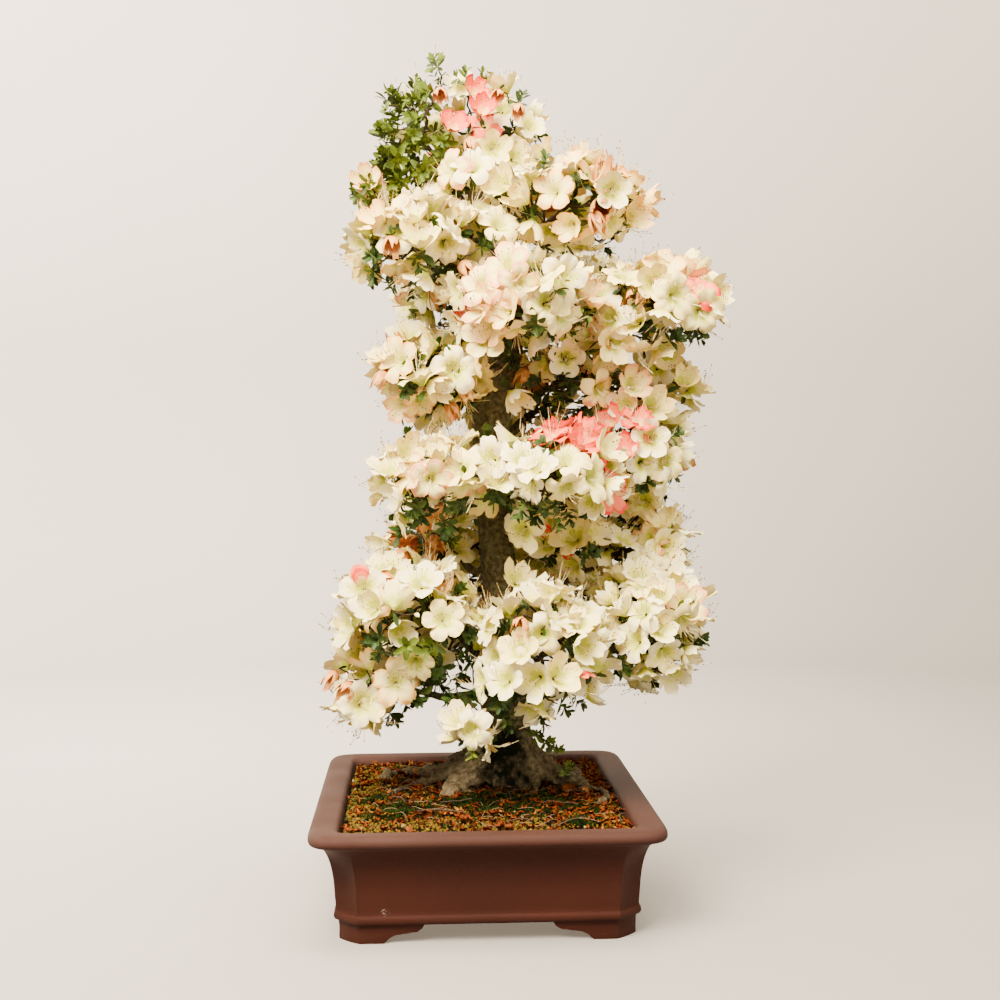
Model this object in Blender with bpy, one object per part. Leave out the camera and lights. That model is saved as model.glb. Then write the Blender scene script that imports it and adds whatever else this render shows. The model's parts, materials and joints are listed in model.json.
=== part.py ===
"""An azalea bonsai in full bloom, in an unglazed clay pot on four feet.

Metres, +Z up, X along the pot's shorter side, -Y towards the side the tree is shown from.
The origin is at the bottom centre of the box round the whole plant, so the pot stands on z = 0.
Places in the tables below are measured from the centre of the pot's foot.
"""

import math
import random
from collections import namedtuple

import bmesh
import bpy
from mathutils import Matrix, Vector
from mathutils.bvhtree import BVHTree
from mathutils.kdtree import KDTree

POT_CENTRE = Vector((-0.060, -0.002, 0.0))
CLEARANCE = 0.0003

# The pot: half sizes of its lip, and the heights that its profile passes through
LIP_HALF_WIDTH = 0.200
LIP_HALF_DEPTH = 0.240
POT_HEIGHT = 0.126
FLOOR_TOP = 0.034
CORNER_STEPS = 4
DRAIN_RADIUS = 0.012
DRAIN_SPREAD = 0.110
ARCH_HEIGHT = 0.0205

# One level of the pot: how far it lies inside the lip's edge, its height, its corner's size, and how
# far the corner bulges, from 1 for a round corner through 0 for a cut one to -1 for a hollow one
Level = namedtuple("Level", "inset height corner bulge")

POT_OUTSIDE = (
    Level(0.0335, 0.0000, 0.024, 0.2),
    Level(0.0330, 0.0205, 0.024, 0.2),
    Level(0.0290, 0.0225, 0.026, 0.1),
    Level(0.0275, 0.0270, 0.027, 0.0),
    Level(0.0285, 0.0310, 0.026, -0.1),
    Level(0.0300, 0.0330, 0.025, -0.2),
    Level(0.0290, 0.0480, 0.025, -0.2),
    Level(0.0275, 0.0670, 0.026, -0.2),
    Level(0.0240, 0.0860, 0.027, -0.1),
    Level(0.0180, 0.1000, 0.031, 0.3),
    Level(0.0090, 0.1090, 0.038, 0.8),
    Level(0.0020, 0.1130, 0.043, 1.0),
    Level(0.0000, 0.1180, 0.045, 1.0),
    Level(0.0025, 0.1235, 0.043, 1.0),
    Level(0.0090, POT_HEIGHT, 0.038, 1.0),
    Level(0.0270, 0.1250, 0.024, 1.0),
    Level(0.0320, 0.1220, 0.021, 1.0),
)
POT_INSIDE = (
    Level(0.0340, 0.1165, 0.020, 1.0),
    Level(0.0390, 0.0970, 0.019, 1.0),
    Level(0.0440, FLOOR_TOP, 0.019, 1.0),
)
# Half the outline of the arch between two feet, from the foot's inner edge up to the arch's crown
FOOT_OGEE = (
    (0.0000, 0.0000),
    (0.0070, 0.0065),
    (0.0145, 0.0095),
    (0.0370, 0.0125),
    (0.0430, 0.0165),
    (0.0450, ARCH_HEIGHT),
)
ARCH_HALF_WIDTH = 0.1165
ARCH_HALF_DEPTH = 0.1565

# The soil: its level where the trunk is cut, how far that level reaches, and how it falls to the pot
GROUND = 0.122
SOIL_EDGE = 0.116
MOUND_INSETS = (0.035, 0.055, 0.082)

# The trunk: x, y, height and radius along its line, from the ground to where it forks
Rib = namedtuple("Rib", "x y z radius")
TRUNK = (
    Rib(0.038, 0.036, 0.114, 0.0450),
    Rib(0.037, 0.036, 0.154, 0.0355),
    Rib(0.031, 0.035, 0.220, 0.0295),
    Rib(0.027, 0.034, 0.300, 0.0250),
    Rib(0.025, 0.035, 0.382, 0.0230),
    Rib(0.020, 0.037, 0.458, 0.0225),
    Rib(0.015, 0.036, 0.546, 0.0225),
    Rib(0.018, 0.035, 0.594, 0.0225),
    Rib(0.028, 0.035, 0.636, 0.0205),
    Rib(0.040, 0.036, 0.686, 0.0180),
    Rib(0.037, 0.038, 0.746, 0.0155),
    Rib(0.021, 0.038, 0.807, 0.0130),
    Rib(0.004, 0.036, 0.850, 0.0100),
    Rib(-0.006, 0.035, 0.874, 0.0085),
)
TRUNK_SIDES = 14

# A surface root: its angle from +X, how far it runs, its thickness, its sideways bend in degrees,
# and how far above the ground it leaves the trunk
Root = namedtuple("Root", "angle reach radius bend start")
ROOTS = (
    Root(138, 0.165, 0.0130, 20, 0.080),
    Root(156, 0.140, 0.0110, 6, 0.070),
    Root(176, 0.145, 0.0105, 14, 0.060),
    Root(206, 0.098, 0.0200, 4, 0.085),
    Root(250, 0.070, 0.0130, 10, 0.055),
    Root(300, 0.066, 0.0120, -12, 0.050),
    Root(342, 0.080, 0.0155, 8, 0.078),
    Root(354, 0.140, 0.0085, -42, 0.075),
    Root(30, 0.110, 0.0125, 14, 0.072),
    Root(72, 0.100, 0.0145, -12, 0.072),
    Root(108, 0.108, 0.0130, 12, 0.070),
)
ROOT_STEPS = 6
ROOT_TIP = 0.35

# A mass of blossom: the centre and reach of its space, the height at which its bough leaves the
# trunk, the bough's thickness there, and how many blossoms and leafy shoots stand out of it
Mass = namedtuple("Mass", "name centre reach fork thickness blossoms shoots")
MASSES = tuple(
    Mass(name, Vector(centre), Vector(reach), *rest)
    for name, centre, reach, *rest in (
        ("crown_left", (-0.070, 0.020, 0.935), (0.058, 0.064, 0.078), 0.828, 0.0060, 4, 4),
        ("crown_right", (0.020, 0.030, 0.943), (0.070, 0.072, 0.075), 0.872, 0.0052, 8, 1),
        ("crown_back", (-0.025, 0.100, 0.880), (0.073, 0.068, 0.073), 0.844, 0.0055, 7, 1),
        ("shoulder_left", (-0.124, 0.035, 0.863), (0.040, 0.048, 0.038), 0.807, 0.0050, 3, 1),
        ("upper_left", (-0.075, -0.045, 0.790), (0.090, 0.084, 0.065), 0.738, 0.0080, 9, 1),
        ("upper_right", (0.113, -0.005, 0.848), (0.110, 0.088, 0.068), 0.783, 0.0085, 11, 1),
        ("middle_front", (0.046, -0.075, 0.720), (0.096, 0.084, 0.064), 0.665, 0.0080, 9, 1),
        ("middle_right", (0.217, -0.005, 0.725), (0.096, 0.090, 0.063), 0.700, 0.0085, 10, 1),
        ("left_shelf", (-0.061, -0.025, 0.640), (0.074, 0.082, 0.063), 0.611, 0.0085, 8, 1),
        ("right_shelf", (0.180, 0.045, 0.632), (0.109, 0.084, 0.053), 0.621, 0.0090, 8, 1),
        ("waist_left", (-0.050, -0.065, 0.507), (0.086, 0.084, 0.064), 0.472, 0.0095, 8, 1),
        ("waist_front", (0.086, -0.100, 0.516), (0.084, 0.076, 0.068), 0.452, 0.0090, 8, 1),
        ("waist_right", (0.197, 0.025, 0.545), (0.076, 0.084, 0.071), 0.517, 0.0095, 8, 1),
        ("elbow_left", (-0.070, 0.040, 0.430), (0.060, 0.060, 0.043), 0.392, 0.0075, 4, 1),
        ("inner_right", (0.112, 0.015, 0.430), (0.052, 0.056, 0.046), 0.402, 0.0075, 4, 1),
        ("low_right", (0.208, 0.060, 0.422), (0.069, 0.080, 0.069), 0.362, 0.0095, 7, 1),
        ("skirt_left", (-0.086, -0.050, 0.350), (0.094, 0.094, 0.077), 0.306, 0.0100, 10, 1),
        ("skirt_low_left", (-0.136, -0.025, 0.256), (0.056, 0.070, 0.057), 0.245, 0.0085, 5, 1),
        ("skirt_drop", (-0.013, -0.110, 0.222), (0.037, 0.042, 0.042), 0.257, 0.0060, 2, 0),
        ("skirt_front", (0.065, -0.110, 0.311), (0.084, 0.082, 0.090), 0.280, 0.0100, 9, 1),
        ("skirt_right", (0.200, -0.045, 0.333), (0.080, 0.092, 0.084), 0.316, 0.0100, 9, 1),
        ("back_skirt_left", (-0.070, 0.135, 0.325), (0.088, 0.082, 0.072), 0.285, 0.0095, 7, 1),
        ("back_skirt_right", (0.095, 0.160, 0.345), (0.097, 0.082, 0.076), 0.326, 0.0105, 9, 1),
        ("back_waist", (0.004, 0.150, 0.500), (0.102, 0.082, 0.072), 0.457, 0.0100, 8, 1),
        ("back_middle_left", (-0.044, 0.115, 0.633), (0.081, 0.076, 0.063), 0.597, 0.0085, 6, 1),
        ("back_middle_right", (0.103, 0.150, 0.608), (0.096, 0.082, 0.072), 0.567, 0.0095, 8, 1),
        ("back_upper_left", (-0.017, 0.130, 0.758), (0.090, 0.076, 0.066), 0.729, 0.0080, 7, 1),
        ("back_upper_right", (0.126, 0.125, 0.747), (0.095, 0.078, 0.069), 0.714, 0.0085, 8, 1),
    )
)
BOUGH_SIDES = 6
BOUGH_STEPS = 4
BOUGH_TAPER = 0.5
BOUGH_SAG = 0.012
STEM_LEAD = 0.008
ENTRY_SHARE = 0.82
CORE_SHARE = 0.84
CORE_ROUGHNESS = 0.07
BORDER = 0.04
OVERHANG = 0.011
LIMB_BERTH = 0.006
LIMB_GAP = 0.001
SEED = 71

# A blossom: five lobes round a sunken throat, on a thin twig
LOBES = 5
BLOSSOM_WIDTH = 0.055
LOBE_NOTCH = 0.80
BLOSSOM_RISE = 0.0085
NOTCH_RISE = 0.0065
BLOSSOM_BACK = 0.005
BLOSSOM_TRIES = ((0.95, 1.0), (0.91, 0.92), (0.91, 0.80))
BLOSSOM_SPACING = 0.050
BLOSSOM_TILT = 0.22
BLOSSOM_LOWEST = -0.6
SITES_EACH = 12
TWIG_FOOT = 0.0022
TWIG_TIP = 0.0013
TWIG_ROOT_SHARE = 0.10

# A leafy shoot: a whorl of leaves at the end of a twig
LEAF_LENGTH = 0.030
LEAF_WIDTH = 0.011
LEAF_THICKNESS = 0.0014
LEAVES_PER_SHOOT = 4
LEAF_LIFT = 0.70
SHOOT_SHARE = 0.90
SHOOT_SPACING = 0.030

GOLDEN_ANGLE = math.pi * (3 - math.sqrt(5))
UP = Vector((0, 0, 1))


def clear_scene():
    for obj in list(bpy.data.objects):
        bpy.data.objects.remove(obj)


def new_collection(name, hidden=False):
    collection = bpy.data.collections.new(name)
    collection.hide_render = hidden
    bpy.context.scene.collection.children.link(collection)
    return collection


def new_material(name, colour, roughness):
    material = bpy.data.materials.new(name)
    material.use_nodes = True
    shader = material.node_tree.nodes["Principled BSDF"]
    shader.inputs["Base Color"].default_value = (*colour, 1.0)
    shader.inputs["Roughness"].default_value = roughness
    shader.inputs["Metallic"].default_value = 0.0
    return material


def new_object(name, mesh, collection):
    obj = bpy.data.objects.new(name, mesh)
    collection.objects.link(obj)
    return obj


def mesh_from(bm, name):
    """The mesh that a bmesh holds, with its faces pointing out."""
    bmesh.ops.recalc_face_normals(bm, faces=bm.faces)
    mesh = bpy.data.meshes.new(name)
    bm.to_mesh(mesh)
    bm.free()
    return mesh


def helper(name, mesh, collection):
    """An object that shapes others and isn't part of the plant."""
    obj = new_object(name, mesh, collection)
    obj.hide_render = True
    obj.display_type = "WIRE"
    return obj


def apply_boolean(target, operation, others, solver="EXACT"):
    """Cuts or joins target with every object of the collection, and applies it."""
    modifier = target.modifiers.new(operation.lower(), "BOOLEAN")
    modifier.operation = operation
    modifier.operand_type = "COLLECTION"
    modifier.collection = others
    modifier.solver = solver
    graph = bpy.context.evaluated_depsgraph_get()
    mesh = bpy.data.meshes.new_from_object(target.evaluated_get(graph))
    target.modifiers.remove(modifier)
    target.data = mesh


def empty_out(collection):
    for obj in list(collection.objects):
        bpy.data.objects.remove(obj)
    bpy.data.collections.remove(collection)


def keep_outer_shell(mesh):
    """Drops loose scraps and the walls of sealed hollows, so that one closed body stays."""
    bm = bmesh.new()
    bm.from_mesh(mesh)
    bmesh.ops.triangulate(bm, faces=bm.faces)
    waiting = set(bm.faces)
    shells = []
    while waiting:
        front = [waiting.pop()]
        shell = list(front)
        while front:
            face = front.pop()
            for edge in face.edges:
                for other in edge.link_faces:
                    if other in waiting:
                        waiting.remove(other)
                        shell.append(other)
                        front.append(other)
        shells.append(shell)
    shells.sort(key=len)
    scraps = [face for shell in shells[:-1] for face in shell]
    bmesh.ops.delete(bm, geom=scraps, context="FACES")
    bmesh.ops.delete(bm, geom=[vertex for vertex in bm.verts if not vertex.link_faces], context="VERTS")
    bm.to_mesh(mesh)
    bm.free()


# The pot


def pot_outline(level):
    """The points round the pot at one level, with each corner bulging or hollow as the level says."""
    half_width = LIP_HALF_WIDTH - level.inset
    half_depth = LIP_HALF_DEPTH - level.inset
    sagitta = level.corner * (1 - math.sqrt(0.5)) * math.sqrt(2) * level.bulge
    points = []
    for quarter in range(4):
        sign_x = 1 if quarter in (0, 3) else -1
        sign_y = 1 if quarter in (0, 1) else -1
        corner = []
        for step in range(CORNER_STEPS + 1):
            t = step / CORNER_STEPS
            out = sagitta * math.sin(math.pi * t) * math.sqrt(0.5)
            x = half_width - level.corner * t + out
            y = half_depth - level.corner * (1 - t) + out
            corner.append(Vector((sign_x * x, sign_y * y, level.height)))
        points += corner if sign_x * sign_y > 0 else corner[::-1]
    return points


def loft(levels, name):
    """A closed body through the pot's outlines, from the first level to the last."""
    bm = bmesh.new()
    rings = [[bm.verts.new(point) for point in pot_outline(level)] for level in levels]
    for lower, upper in zip(rings, rings[1:]):
        for i in range(len(lower)):
            j = (i + 1) % len(lower)
            bm.faces.new((lower[i], lower[j], upper[j], upper[i]))
    bm.faces.new(rings[0][::-1])
    bm.faces.new(rings[-1])
    return mesh_from(bm, name)


def arch_cutter(half_width, length, name, collection):
    """The space between two feet, as a flat outline with an ogee at each end, run through the pot."""
    half = [(half_width - inward, height) for inward, height in FOOT_OGEE]
    outline = [(half_width, -ARCH_HEIGHT)] + half
    outline += [(-x, y) for x, y in reversed(outline)]
    curve = bpy.data.curves.new(name, "CURVE")
    curve.dimensions = "2D"
    curve.fill_mode = "BOTH"
    curve.extrude = length / 2
    spline = curve.splines.new("POLY")
    spline.points.add(len(outline) - 1)
    for point, (x, y) in zip(spline.points, outline):
        point.co = (x, y, 0, 1)
    spline.use_cyclic_u = True
    drawn = new_object(name + "_outline", curve, collection)
    drawn.rotation_euler.x = math.pi / 2
    return drawn


def mesh_of_curve(drawn, name, collection):
    """The curve's evaluated shape as a mesh object with welded caps. The curve is removed."""
    bpy.context.view_layer.update()
    graph = bpy.context.evaluated_depsgraph_get()
    mesh = bpy.data.meshes.new_from_object(drawn.evaluated_get(graph))
    bm = bmesh.new()
    bm.from_mesh(mesh)
    bmesh.ops.remove_doubles(bm, verts=bm.verts, dist=0.00001)
    bmesh.ops.recalc_face_normals(bm, faces=bm.faces)
    bm.to_mesh(mesh)
    bm.free()
    mesh.name = name
    obj = new_object(name, mesh, collection)
    obj.matrix_world = drawn.matrix_world.copy()
    bpy.data.objects.remove(drawn)
    return obj


def build_pot(collection, material):
    pot = new_object("pot", loft(POT_OUTSIDE + POT_INSIDE, "pot"), collection)
    cutters = new_collection("pot_cutters", hidden=True)
    length = 3 * max(LIP_HALF_WIDTH, LIP_HALF_DEPTH)
    front = arch_cutter(ARCH_HALF_WIDTH, length, "front_arch", cutters)
    side = arch_cutter(ARCH_HALF_DEPTH, length, "side_arch", cutters)
    side.rotation_euler.z = math.pi / 2
    for drawn in (front, side):
        mesh_of_curve(drawn, drawn.name + "_cutter", cutters)
    for end in (-1, 1):
        bm = bmesh.new()
        bmesh.ops.create_cone(
            bm, cap_ends=True, segments=12, radius1=DRAIN_RADIUS, radius2=DRAIN_RADIUS, depth=POT_HEIGHT
        )
        hole = helper("drain_cutter", mesh_from(bm, "drain_cutter"), cutters)
        hole.location = (0, end * DRAIN_SPREAD, 0)
    bpy.context.view_layer.update()
    apply_boolean(pot, "DIFFERENCE", cutters)
    empty_out(cutters)
    pot.data.materials.append(material)
    return pot


def build_soil(collection, material):
    """The soil that fills the pot, level round the trunk and falling a little to the pot's wall."""
    wall = CLEARANCE * 1.5
    sides = [
        Level(level.inset + wall, level.height, level.corner, level.bulge)
        for level in reversed(POT_INSIDE)
    ]
    sides[0] = sides[0]._replace(height=FLOOR_TOP + CLEARANCE)
    brim = sides[-1]
    falls = [
        Level(inset, SOIL_EDGE + (GROUND - SOIL_EDGE) * step / len(MOUND_INSETS), brim.corner, brim.bulge)
        for step, inset in enumerate(MOUND_INSETS, start=1)
    ]
    soil = new_object("soil", loft(sides + falls, "soil"), collection)
    soil.data.materials.append(material)
    return soil


# Trunk, roots and boughs


def smooth_line(ribs, steps):
    """Points on a smooth line through the ribs, with the radius carried along."""
    found = []
    ends = [ribs[0], *ribs, ribs[-1]]
    for i in range(len(ribs) - 1):
        a, b, c, d = (Vector(rib) for rib in ends[i : i + 4])
        for step in range(steps):
            t = step / steps
            bend = (2 * a - 5 * b + 4 * c - d) * t**2 + (3 * b - a - 3 * c + d) * t**3
            found.append(Rib(*(0.5 * (2 * b + (c - a) * t + bend))))
    return found + [ribs[-1]]


def tube(name, ribs, sides, collection, grown=0.0):
    """A closed round limb through the ribs, as a mesh object."""
    curve = bpy.data.curves.new(name, "CURVE")
    curve.dimensions = "3D"
    curve.bevel_depth = 1.0
    curve.bevel_resolution = sides // 2 - 2
    curve.use_fill_caps = True
    spline = curve.splines.new("POLY")
    spline.points.add(len(ribs) - 1)
    for point, rib in zip(spline.points, ribs):
        point.co = (rib.x, rib.y, rib.z, 1)
        point.radius = rib.radius + grown
    return mesh_of_curve(new_object(name + "_line", curve, collection), name, collection)


def root_ribs(root):
    """A surface root: it leaves the trunk at a slant, turns over and runs out along the soil."""
    foot = Vector(TRUNK[0][:3])
    ribs = []
    for step in range(ROOT_STEPS + 1):
        t = step / ROOT_STEPS
        angle = math.radians(root.angle + root.bend * t * t)
        outward = root.reach * (0.10 + 0.90 * t)
        height = GROUND + root.start * (1 - t) ** 2.6 - 0.25 * root.radius * t
        x = foot.x + outward * math.cos(angle)
        y = foot.y + outward * math.sin(angle)
        ribs.append(Rib(x, y, height, root.radius * (1 - (1 - ROOT_TIP) * t)))
    return ribs


def trunk_point(height):
    """The trunk's line at a height, and its radius there."""
    for lower, upper in zip(TRUNK, TRUNK[1:]):
        if height <= upper.z:
            t = (height - lower.z) / (upper.z - lower.z)
            mixed = Vector(lower).lerp(Vector(upper), t)
            return Vector(mixed[:3]), mixed[3]
    return Vector(TRUNK[-1][:3]), TRUNK[-1].radius


def build_trunk(collection, material):
    trunk = tube("trunk", smooth_line(TRUNK, 2), TRUNK_SIDES, collection)
    roots = new_collection("roots", hidden=True)
    for root in ROOTS:
        tube("root", root_ribs(root), 8, roots)
    apply_boolean(trunk, "UNION", roots)
    empty_out(roots)
    cutters = new_collection("ground_cutter", hidden=True)
    bm = bmesh.new()
    bmesh.ops.create_cube(bm, size=1.0)
    ground = helper("below_ground", mesh_from(bm, "below_ground"), cutters)
    ground.location.z = GROUND + CLEARANCE - 0.5
    bpy.context.view_layer.update()
    apply_boolean(trunk, "DIFFERENCE", cutters)
    empty_out(cutters)
    keep_outer_shell(trunk.data)
    trunk.data.materials.append(material)
    return trunk


def bough_ribs(mass):
    """A bough's line, from inside the trunk to where it enters its mass."""
    start, trunk_radius = trunk_point(mass.fork)
    entry_way = (start - mass.centre).normalized()
    entry = mass.centre + entry_way * (ENTRY_SHARE / share_of(entry_way, mass.reach))
    thickness = min(mass.thickness, trunk_radius * 0.8)
    ribs = []
    for step in range(BOUGH_STEPS + 1):
        t = step / BOUGH_STEPS
        point = start.lerp(entry, t) - UP * BOUGH_SAG * math.sin(math.pi * t)
        ribs.append(Rib(*point, thickness * (1 - BOUGH_TAPER * t)))
    return ribs


def grown_trunk(collection):
    """A little more than the trunk, to cut what has to stay clear of it."""
    return tube("grown_trunk", smooth_line(TRUNK, 2), TRUNK_SIDES, collection, grown=CLEARANCE)


def build_boughs(collection, material):
    """Every bough, cut off just outside the trunk, as (object, ribs) by the name of its mass."""
    cutters = new_collection("trunk_cutter", hidden=True)
    grown_trunk(cutters)
    boughs = {}
    for mass in MASSES:
        ribs = bough_ribs(mass)
        bough = tube("bough_" + mass.name, ribs, BOUGH_SIDES, collection)
        apply_boolean(bough, "DIFFERENCE", cutters)
        keep_outer_shell(bough.data)
        bough.data.materials.append(material)
        boughs[mass.name] = (bough, ribs)
    empty_out(cutters)
    return boughs


# Masses of blossom


def share_of(offset, reach):
    """How far out in a space a point lies, from 0 at its centre to 1 at its edge."""
    return Vector((offset.x / reach.x, offset.y / reach.y, offset.z / reach.z)).length


def neighbours(mass):
    """The other masses whose reach comes near this one's."""
    found = []
    for other in MASSES:
        apart = (other.centre - mass.centre).length
        if other is not mass and apart < 1.4 * (max(other.reach) + max(mass.reach)):
            found.append(other)
    return found


NEIGHBOURS = {mass.name: neighbours(mass) for mass in MASSES}


def in_own_space(mass, point):
    """Whether a point is inside the mass's reach and nearer to it than to any other mass."""
    own = share_of(point - mass.centre, mass.reach)
    if own > 1 + OVERHANG / min(mass.reach):
        return False
    return all(own + BORDER < share_of(point - other.centre, other.reach) for other in NEIGHBOURS[mass.name])


def limb_tree(limbs):
    """A search tree of points along every limb, with the limb's radius at each."""
    samples = [(Vector(rib[:3]), rib.radius) for ribs in limbs for rib in smooth_line(ribs, 4)]
    tree = KDTree(len(samples))
    for index, (point, _) in enumerate(samples):
        tree.insert(point, index)
    tree.balance()
    return tree, [radius for _, radius in samples]


def near_limb(point, limbs, berth):
    tree, radii = limbs
    return any(distance < radii[index] + berth for _, index, distance in tree.find_n(point, 4))


def core_mesh(mass, limbs, rng):
    """The dense inside of a mass: a rough ball that stays in its own space and off every limb."""
    bm = bmesh.new()
    bmesh.ops.create_icosphere(bm, subdivisions=2, radius=1.0)
    for vertex in bm.verts:
        way = vertex.co.normalized()
        full = Vector((way.x * mass.reach.x, way.y * mass.reach.y, way.z * mass.reach.z))
        wanted = CORE_SHARE * (1 + CORE_ROUGHNESS * rng.uniform(-1, 1))
        out = 0.12
        while out < wanted:
            point = mass.centre + full * (out + 0.03)
            if not in_own_space(mass, point) or near_limb(point, limbs, LIMB_BERTH):
                break
            out += 0.03
        vertex.co = mass.centre + full * min(out, wanted)
    return mesh_from(bm, mass.name)


def twig_ring(radius):
    return [Vector((radius * math.cos(a), radius * math.sin(a), 0)) for a in (0, math.tau / 3, -math.tau / 3)]


def twig_mesh(root, head):
    """A three-sided twig from one point to another."""
    turn = (head - root).to_track_quat("Z", "Y").to_matrix()
    bm = bmesh.new()
    foot = [bm.verts.new(root + turn @ point) for point in twig_ring(TWIG_FOOT)]
    tip = [bm.verts.new(head + turn @ point) for point in twig_ring(TWIG_TIP)]
    for i in range(3):
        j = (i + 1) % 3
        bm.faces.new((foot[i], foot[j], tip[j], tip[i]))
    bm.faces.new(foot[::-1])
    bm.faces.new(tip)
    return mesh_from(bm, "twig")


def blossom_mesh(matrix, root):
    """A blossom at a matrix, facing its +Z with the throat at its origin, on a twig from a root."""
    bm = bmesh.new()
    bmesh.ops.create_circle(bm, cap_ends=False, segments=2 * LOBES, radius=BLOSSOM_WIDTH / 2)
    rim = list(bm.verts)
    for index, vertex in enumerate(rim):
        notched = index % 2
        vertex.co *= LOBE_NOTCH if notched else 1.0
        vertex.co.z = NOTCH_RISE if notched else BLOSSOM_RISE
    ring = [bm.verts.new(point - UP * BLOSSOM_BACK) for point in twig_ring(TWIG_TIP * 1.5)]
    throat = bm.verts.new((0, 0, 0))
    for index, vertex in enumerate(rim):
        after = rim[(index + 1) % len(rim)]
        bm.faces.new((vertex, after, throat))
        near, far = (ring[round(i * 3 / len(rim)) % 3] for i in (index, index + 1))
        bm.faces.new((after, vertex, near) if near is far else (after, vertex, near, far))
    bmesh.ops.transform(bm, matrix=matrix, verts=bm.verts)
    base = matrix @ Vector((0, 0, -BLOSSOM_BACK))
    swing = (matrix.to_3x3() @ UP).rotation_difference(base - root)
    foot = [bm.verts.new(root + swing @ (vertex.co - base)) for vertex in ring]
    for i in range(3):
        j = (i + 1) % 3
        bm.faces.new((foot[i], foot[j], ring[j], ring[i]))
    bm.faces.new(foot[::-1])
    return mesh_from(bm, "blossom")


def leaf_mesh(matrix):
    """A pointed leaf at a matrix, along its +X from its origin: eight faces, thick in the middle."""
    bm = bmesh.new()
    bmesh.ops.create_uvsphere(bm, u_segments=4, v_segments=2, radius=0.5)
    for vertex in bm.verts:
        along = vertex.co.x + 0.5
        middle = abs(vertex.co.x) < 0.1
        vertex.co.x = LEAF_LENGTH * (0.58 if middle else along)
        vertex.co.y *= LEAF_WIDTH
        vertex.co.z *= LEAF_THICKNESS
    bmesh.ops.transform(bm, matrix=matrix, verts=bm.verts)
    return mesh_from(bm, "leaf")


def facing(place, way, spin):
    """The matrix that puts a piece at a place with its +Z along a way, turned about it by a spin."""
    turn = way.to_track_quat("Z", "Y").to_matrix().to_4x4()
    return Matrix.Translation(place) @ turn @ Matrix.Rotation(spin, 4, "Z")


def tree_of(obj):
    """A search tree of an object's faces, in world space."""
    points = [obj.matrix_world @ vertex.co for vertex in obj.data.vertices]
    return BVHTree.FromPolygons(points, [tuple(face.vertices) for face in obj.data.polygons], epsilon=0.0005)


class Growth:
    """The pieces of one mass while it grows: what is placed so far, and what a new piece must miss."""

    def __init__(self, mass, limb_trees, pieces):
        self.mass = mass
        self.limb_trees = limb_trees
        self.pieces = pieces
        self.heads = []

    def fits(self, mesh):
        """Whether a piece stays in the mass's own space and misses every limb."""
        points = [vertex.co for vertex in mesh.vertices]
        if not all(in_own_space(self.mass, point) for point in points):
            return False
        return not touches(mesh, self.limb_trees)

    def room_for(self, head, spacing):
        return all((head - other).length > (spacing + berth) / 2 for other, berth in self.heads)

    def place(self, meshes, head, spacing):
        for mesh in meshes:
            helper(f"{self.mass.name}_{mesh.name}", mesh, self.pieces)
        self.heads.append((head, spacing))

    def grow_blossom(self, outward, normal, rng):
        """A blossom on its twig, facing out and a little up. False where it would leave the space."""
        root = self.mass.centre + outward * TWIG_ROOT_SHARE
        tilt = Vector([rng.uniform(-1, 1) for _ in range(3)]) * BLOSSOM_TILT
        way = (normal + tilt + UP * 0.10).normalized()
        spin = rng.uniform(0, math.tau)
        for share, size in BLOSSOM_TRIES:
            head = self.mass.centre + outward * share
            if not self.room_for(head, BLOSSOM_SPACING * size):
                continue
            mesh = blossom_mesh(facing(head, way, spin) @ Matrix.Scale(size, 4), root)
            if self.fits(mesh):
                self.place([mesh], head, BLOSSOM_SPACING * size)
                return True
        return False

    def grow_shoot(self, outward, normal, rng):
        """A leafy shoot: a twig with a whorl of leaves round its tip."""
        head = self.mass.centre + outward * SHOOT_SHARE
        twig = twig_mesh(self.mass.centre + outward * TWIG_ROOT_SHARE, head)
        if not (self.room_for(head, SHOOT_SPACING) and self.fits(twig)):
            return False
        leaves = []
        start = rng.uniform(0, math.tau)
        for index in range(LEAVES_PER_SHOOT):
            turn = facing(head - normal * 0.002, normal, start + index * math.tau / LEAVES_PER_SHOOT)
            leaves.append(leaf_mesh(turn @ Matrix.Rotation(-LEAF_LIFT * rng.uniform(0.3, 1.0), 4, "Y")))
        leaves = [leaf for leaf in leaves if self.fits(leaf)]
        if len(leaves) < 2:
            return False
        self.place([twig, *leaves], head, SHOOT_SPACING)
        return True


def sites(mass, rng):
    """Ways out from a mass's centre, evenly spread by the golden angle, in an order from its seed."""
    count = SITES_EACH * (mass.blossoms + mass.shoots)
    found = []
    for index in range(count):
        height = 1 - (2 * index + 1) / count
        round_it = index * GOLDEN_ANGLE
        width = math.sqrt(1 - height * height)
        way = Vector((width * math.cos(round_it), width * math.sin(round_it), height))
        outward = Vector((way.x * mass.reach.x, way.y * mass.reach.y, way.z * mass.reach.z))
        normal = Vector((way.x / mass.reach.x, way.y / mass.reach.y, way.z / mass.reach.z)).normalized()
        found.append((way, outward, normal))
    rng.shuffle(found)
    return found


def touches(mesh, limb_trees):
    """Whether a mesh comes within a hair of any limb."""
    points = [vertex.co for vertex in mesh.vertices]
    tree = BVHTree.FromPolygons(points, [tuple(face.vertices) for face in mesh.polygons], epsilon=0.0005)
    return any(tree.overlap(limb) for limb in limb_trees)


def cut_clear(body, boughs):
    """Cuts a core back from the trunk and from every bough that runs past it."""
    cutters = new_collection("limb_cutters", hidden=True)
    grown_trunk(cutters)
    for name, (_, ribs) in boughs.items():
        tube(name + "_grown", ribs, BOUGH_SIDES, cutters, grown=LIMB_GAP)
    apply_boolean(body, "DIFFERENCE", cutters)
    empty_out(cutters)


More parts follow.
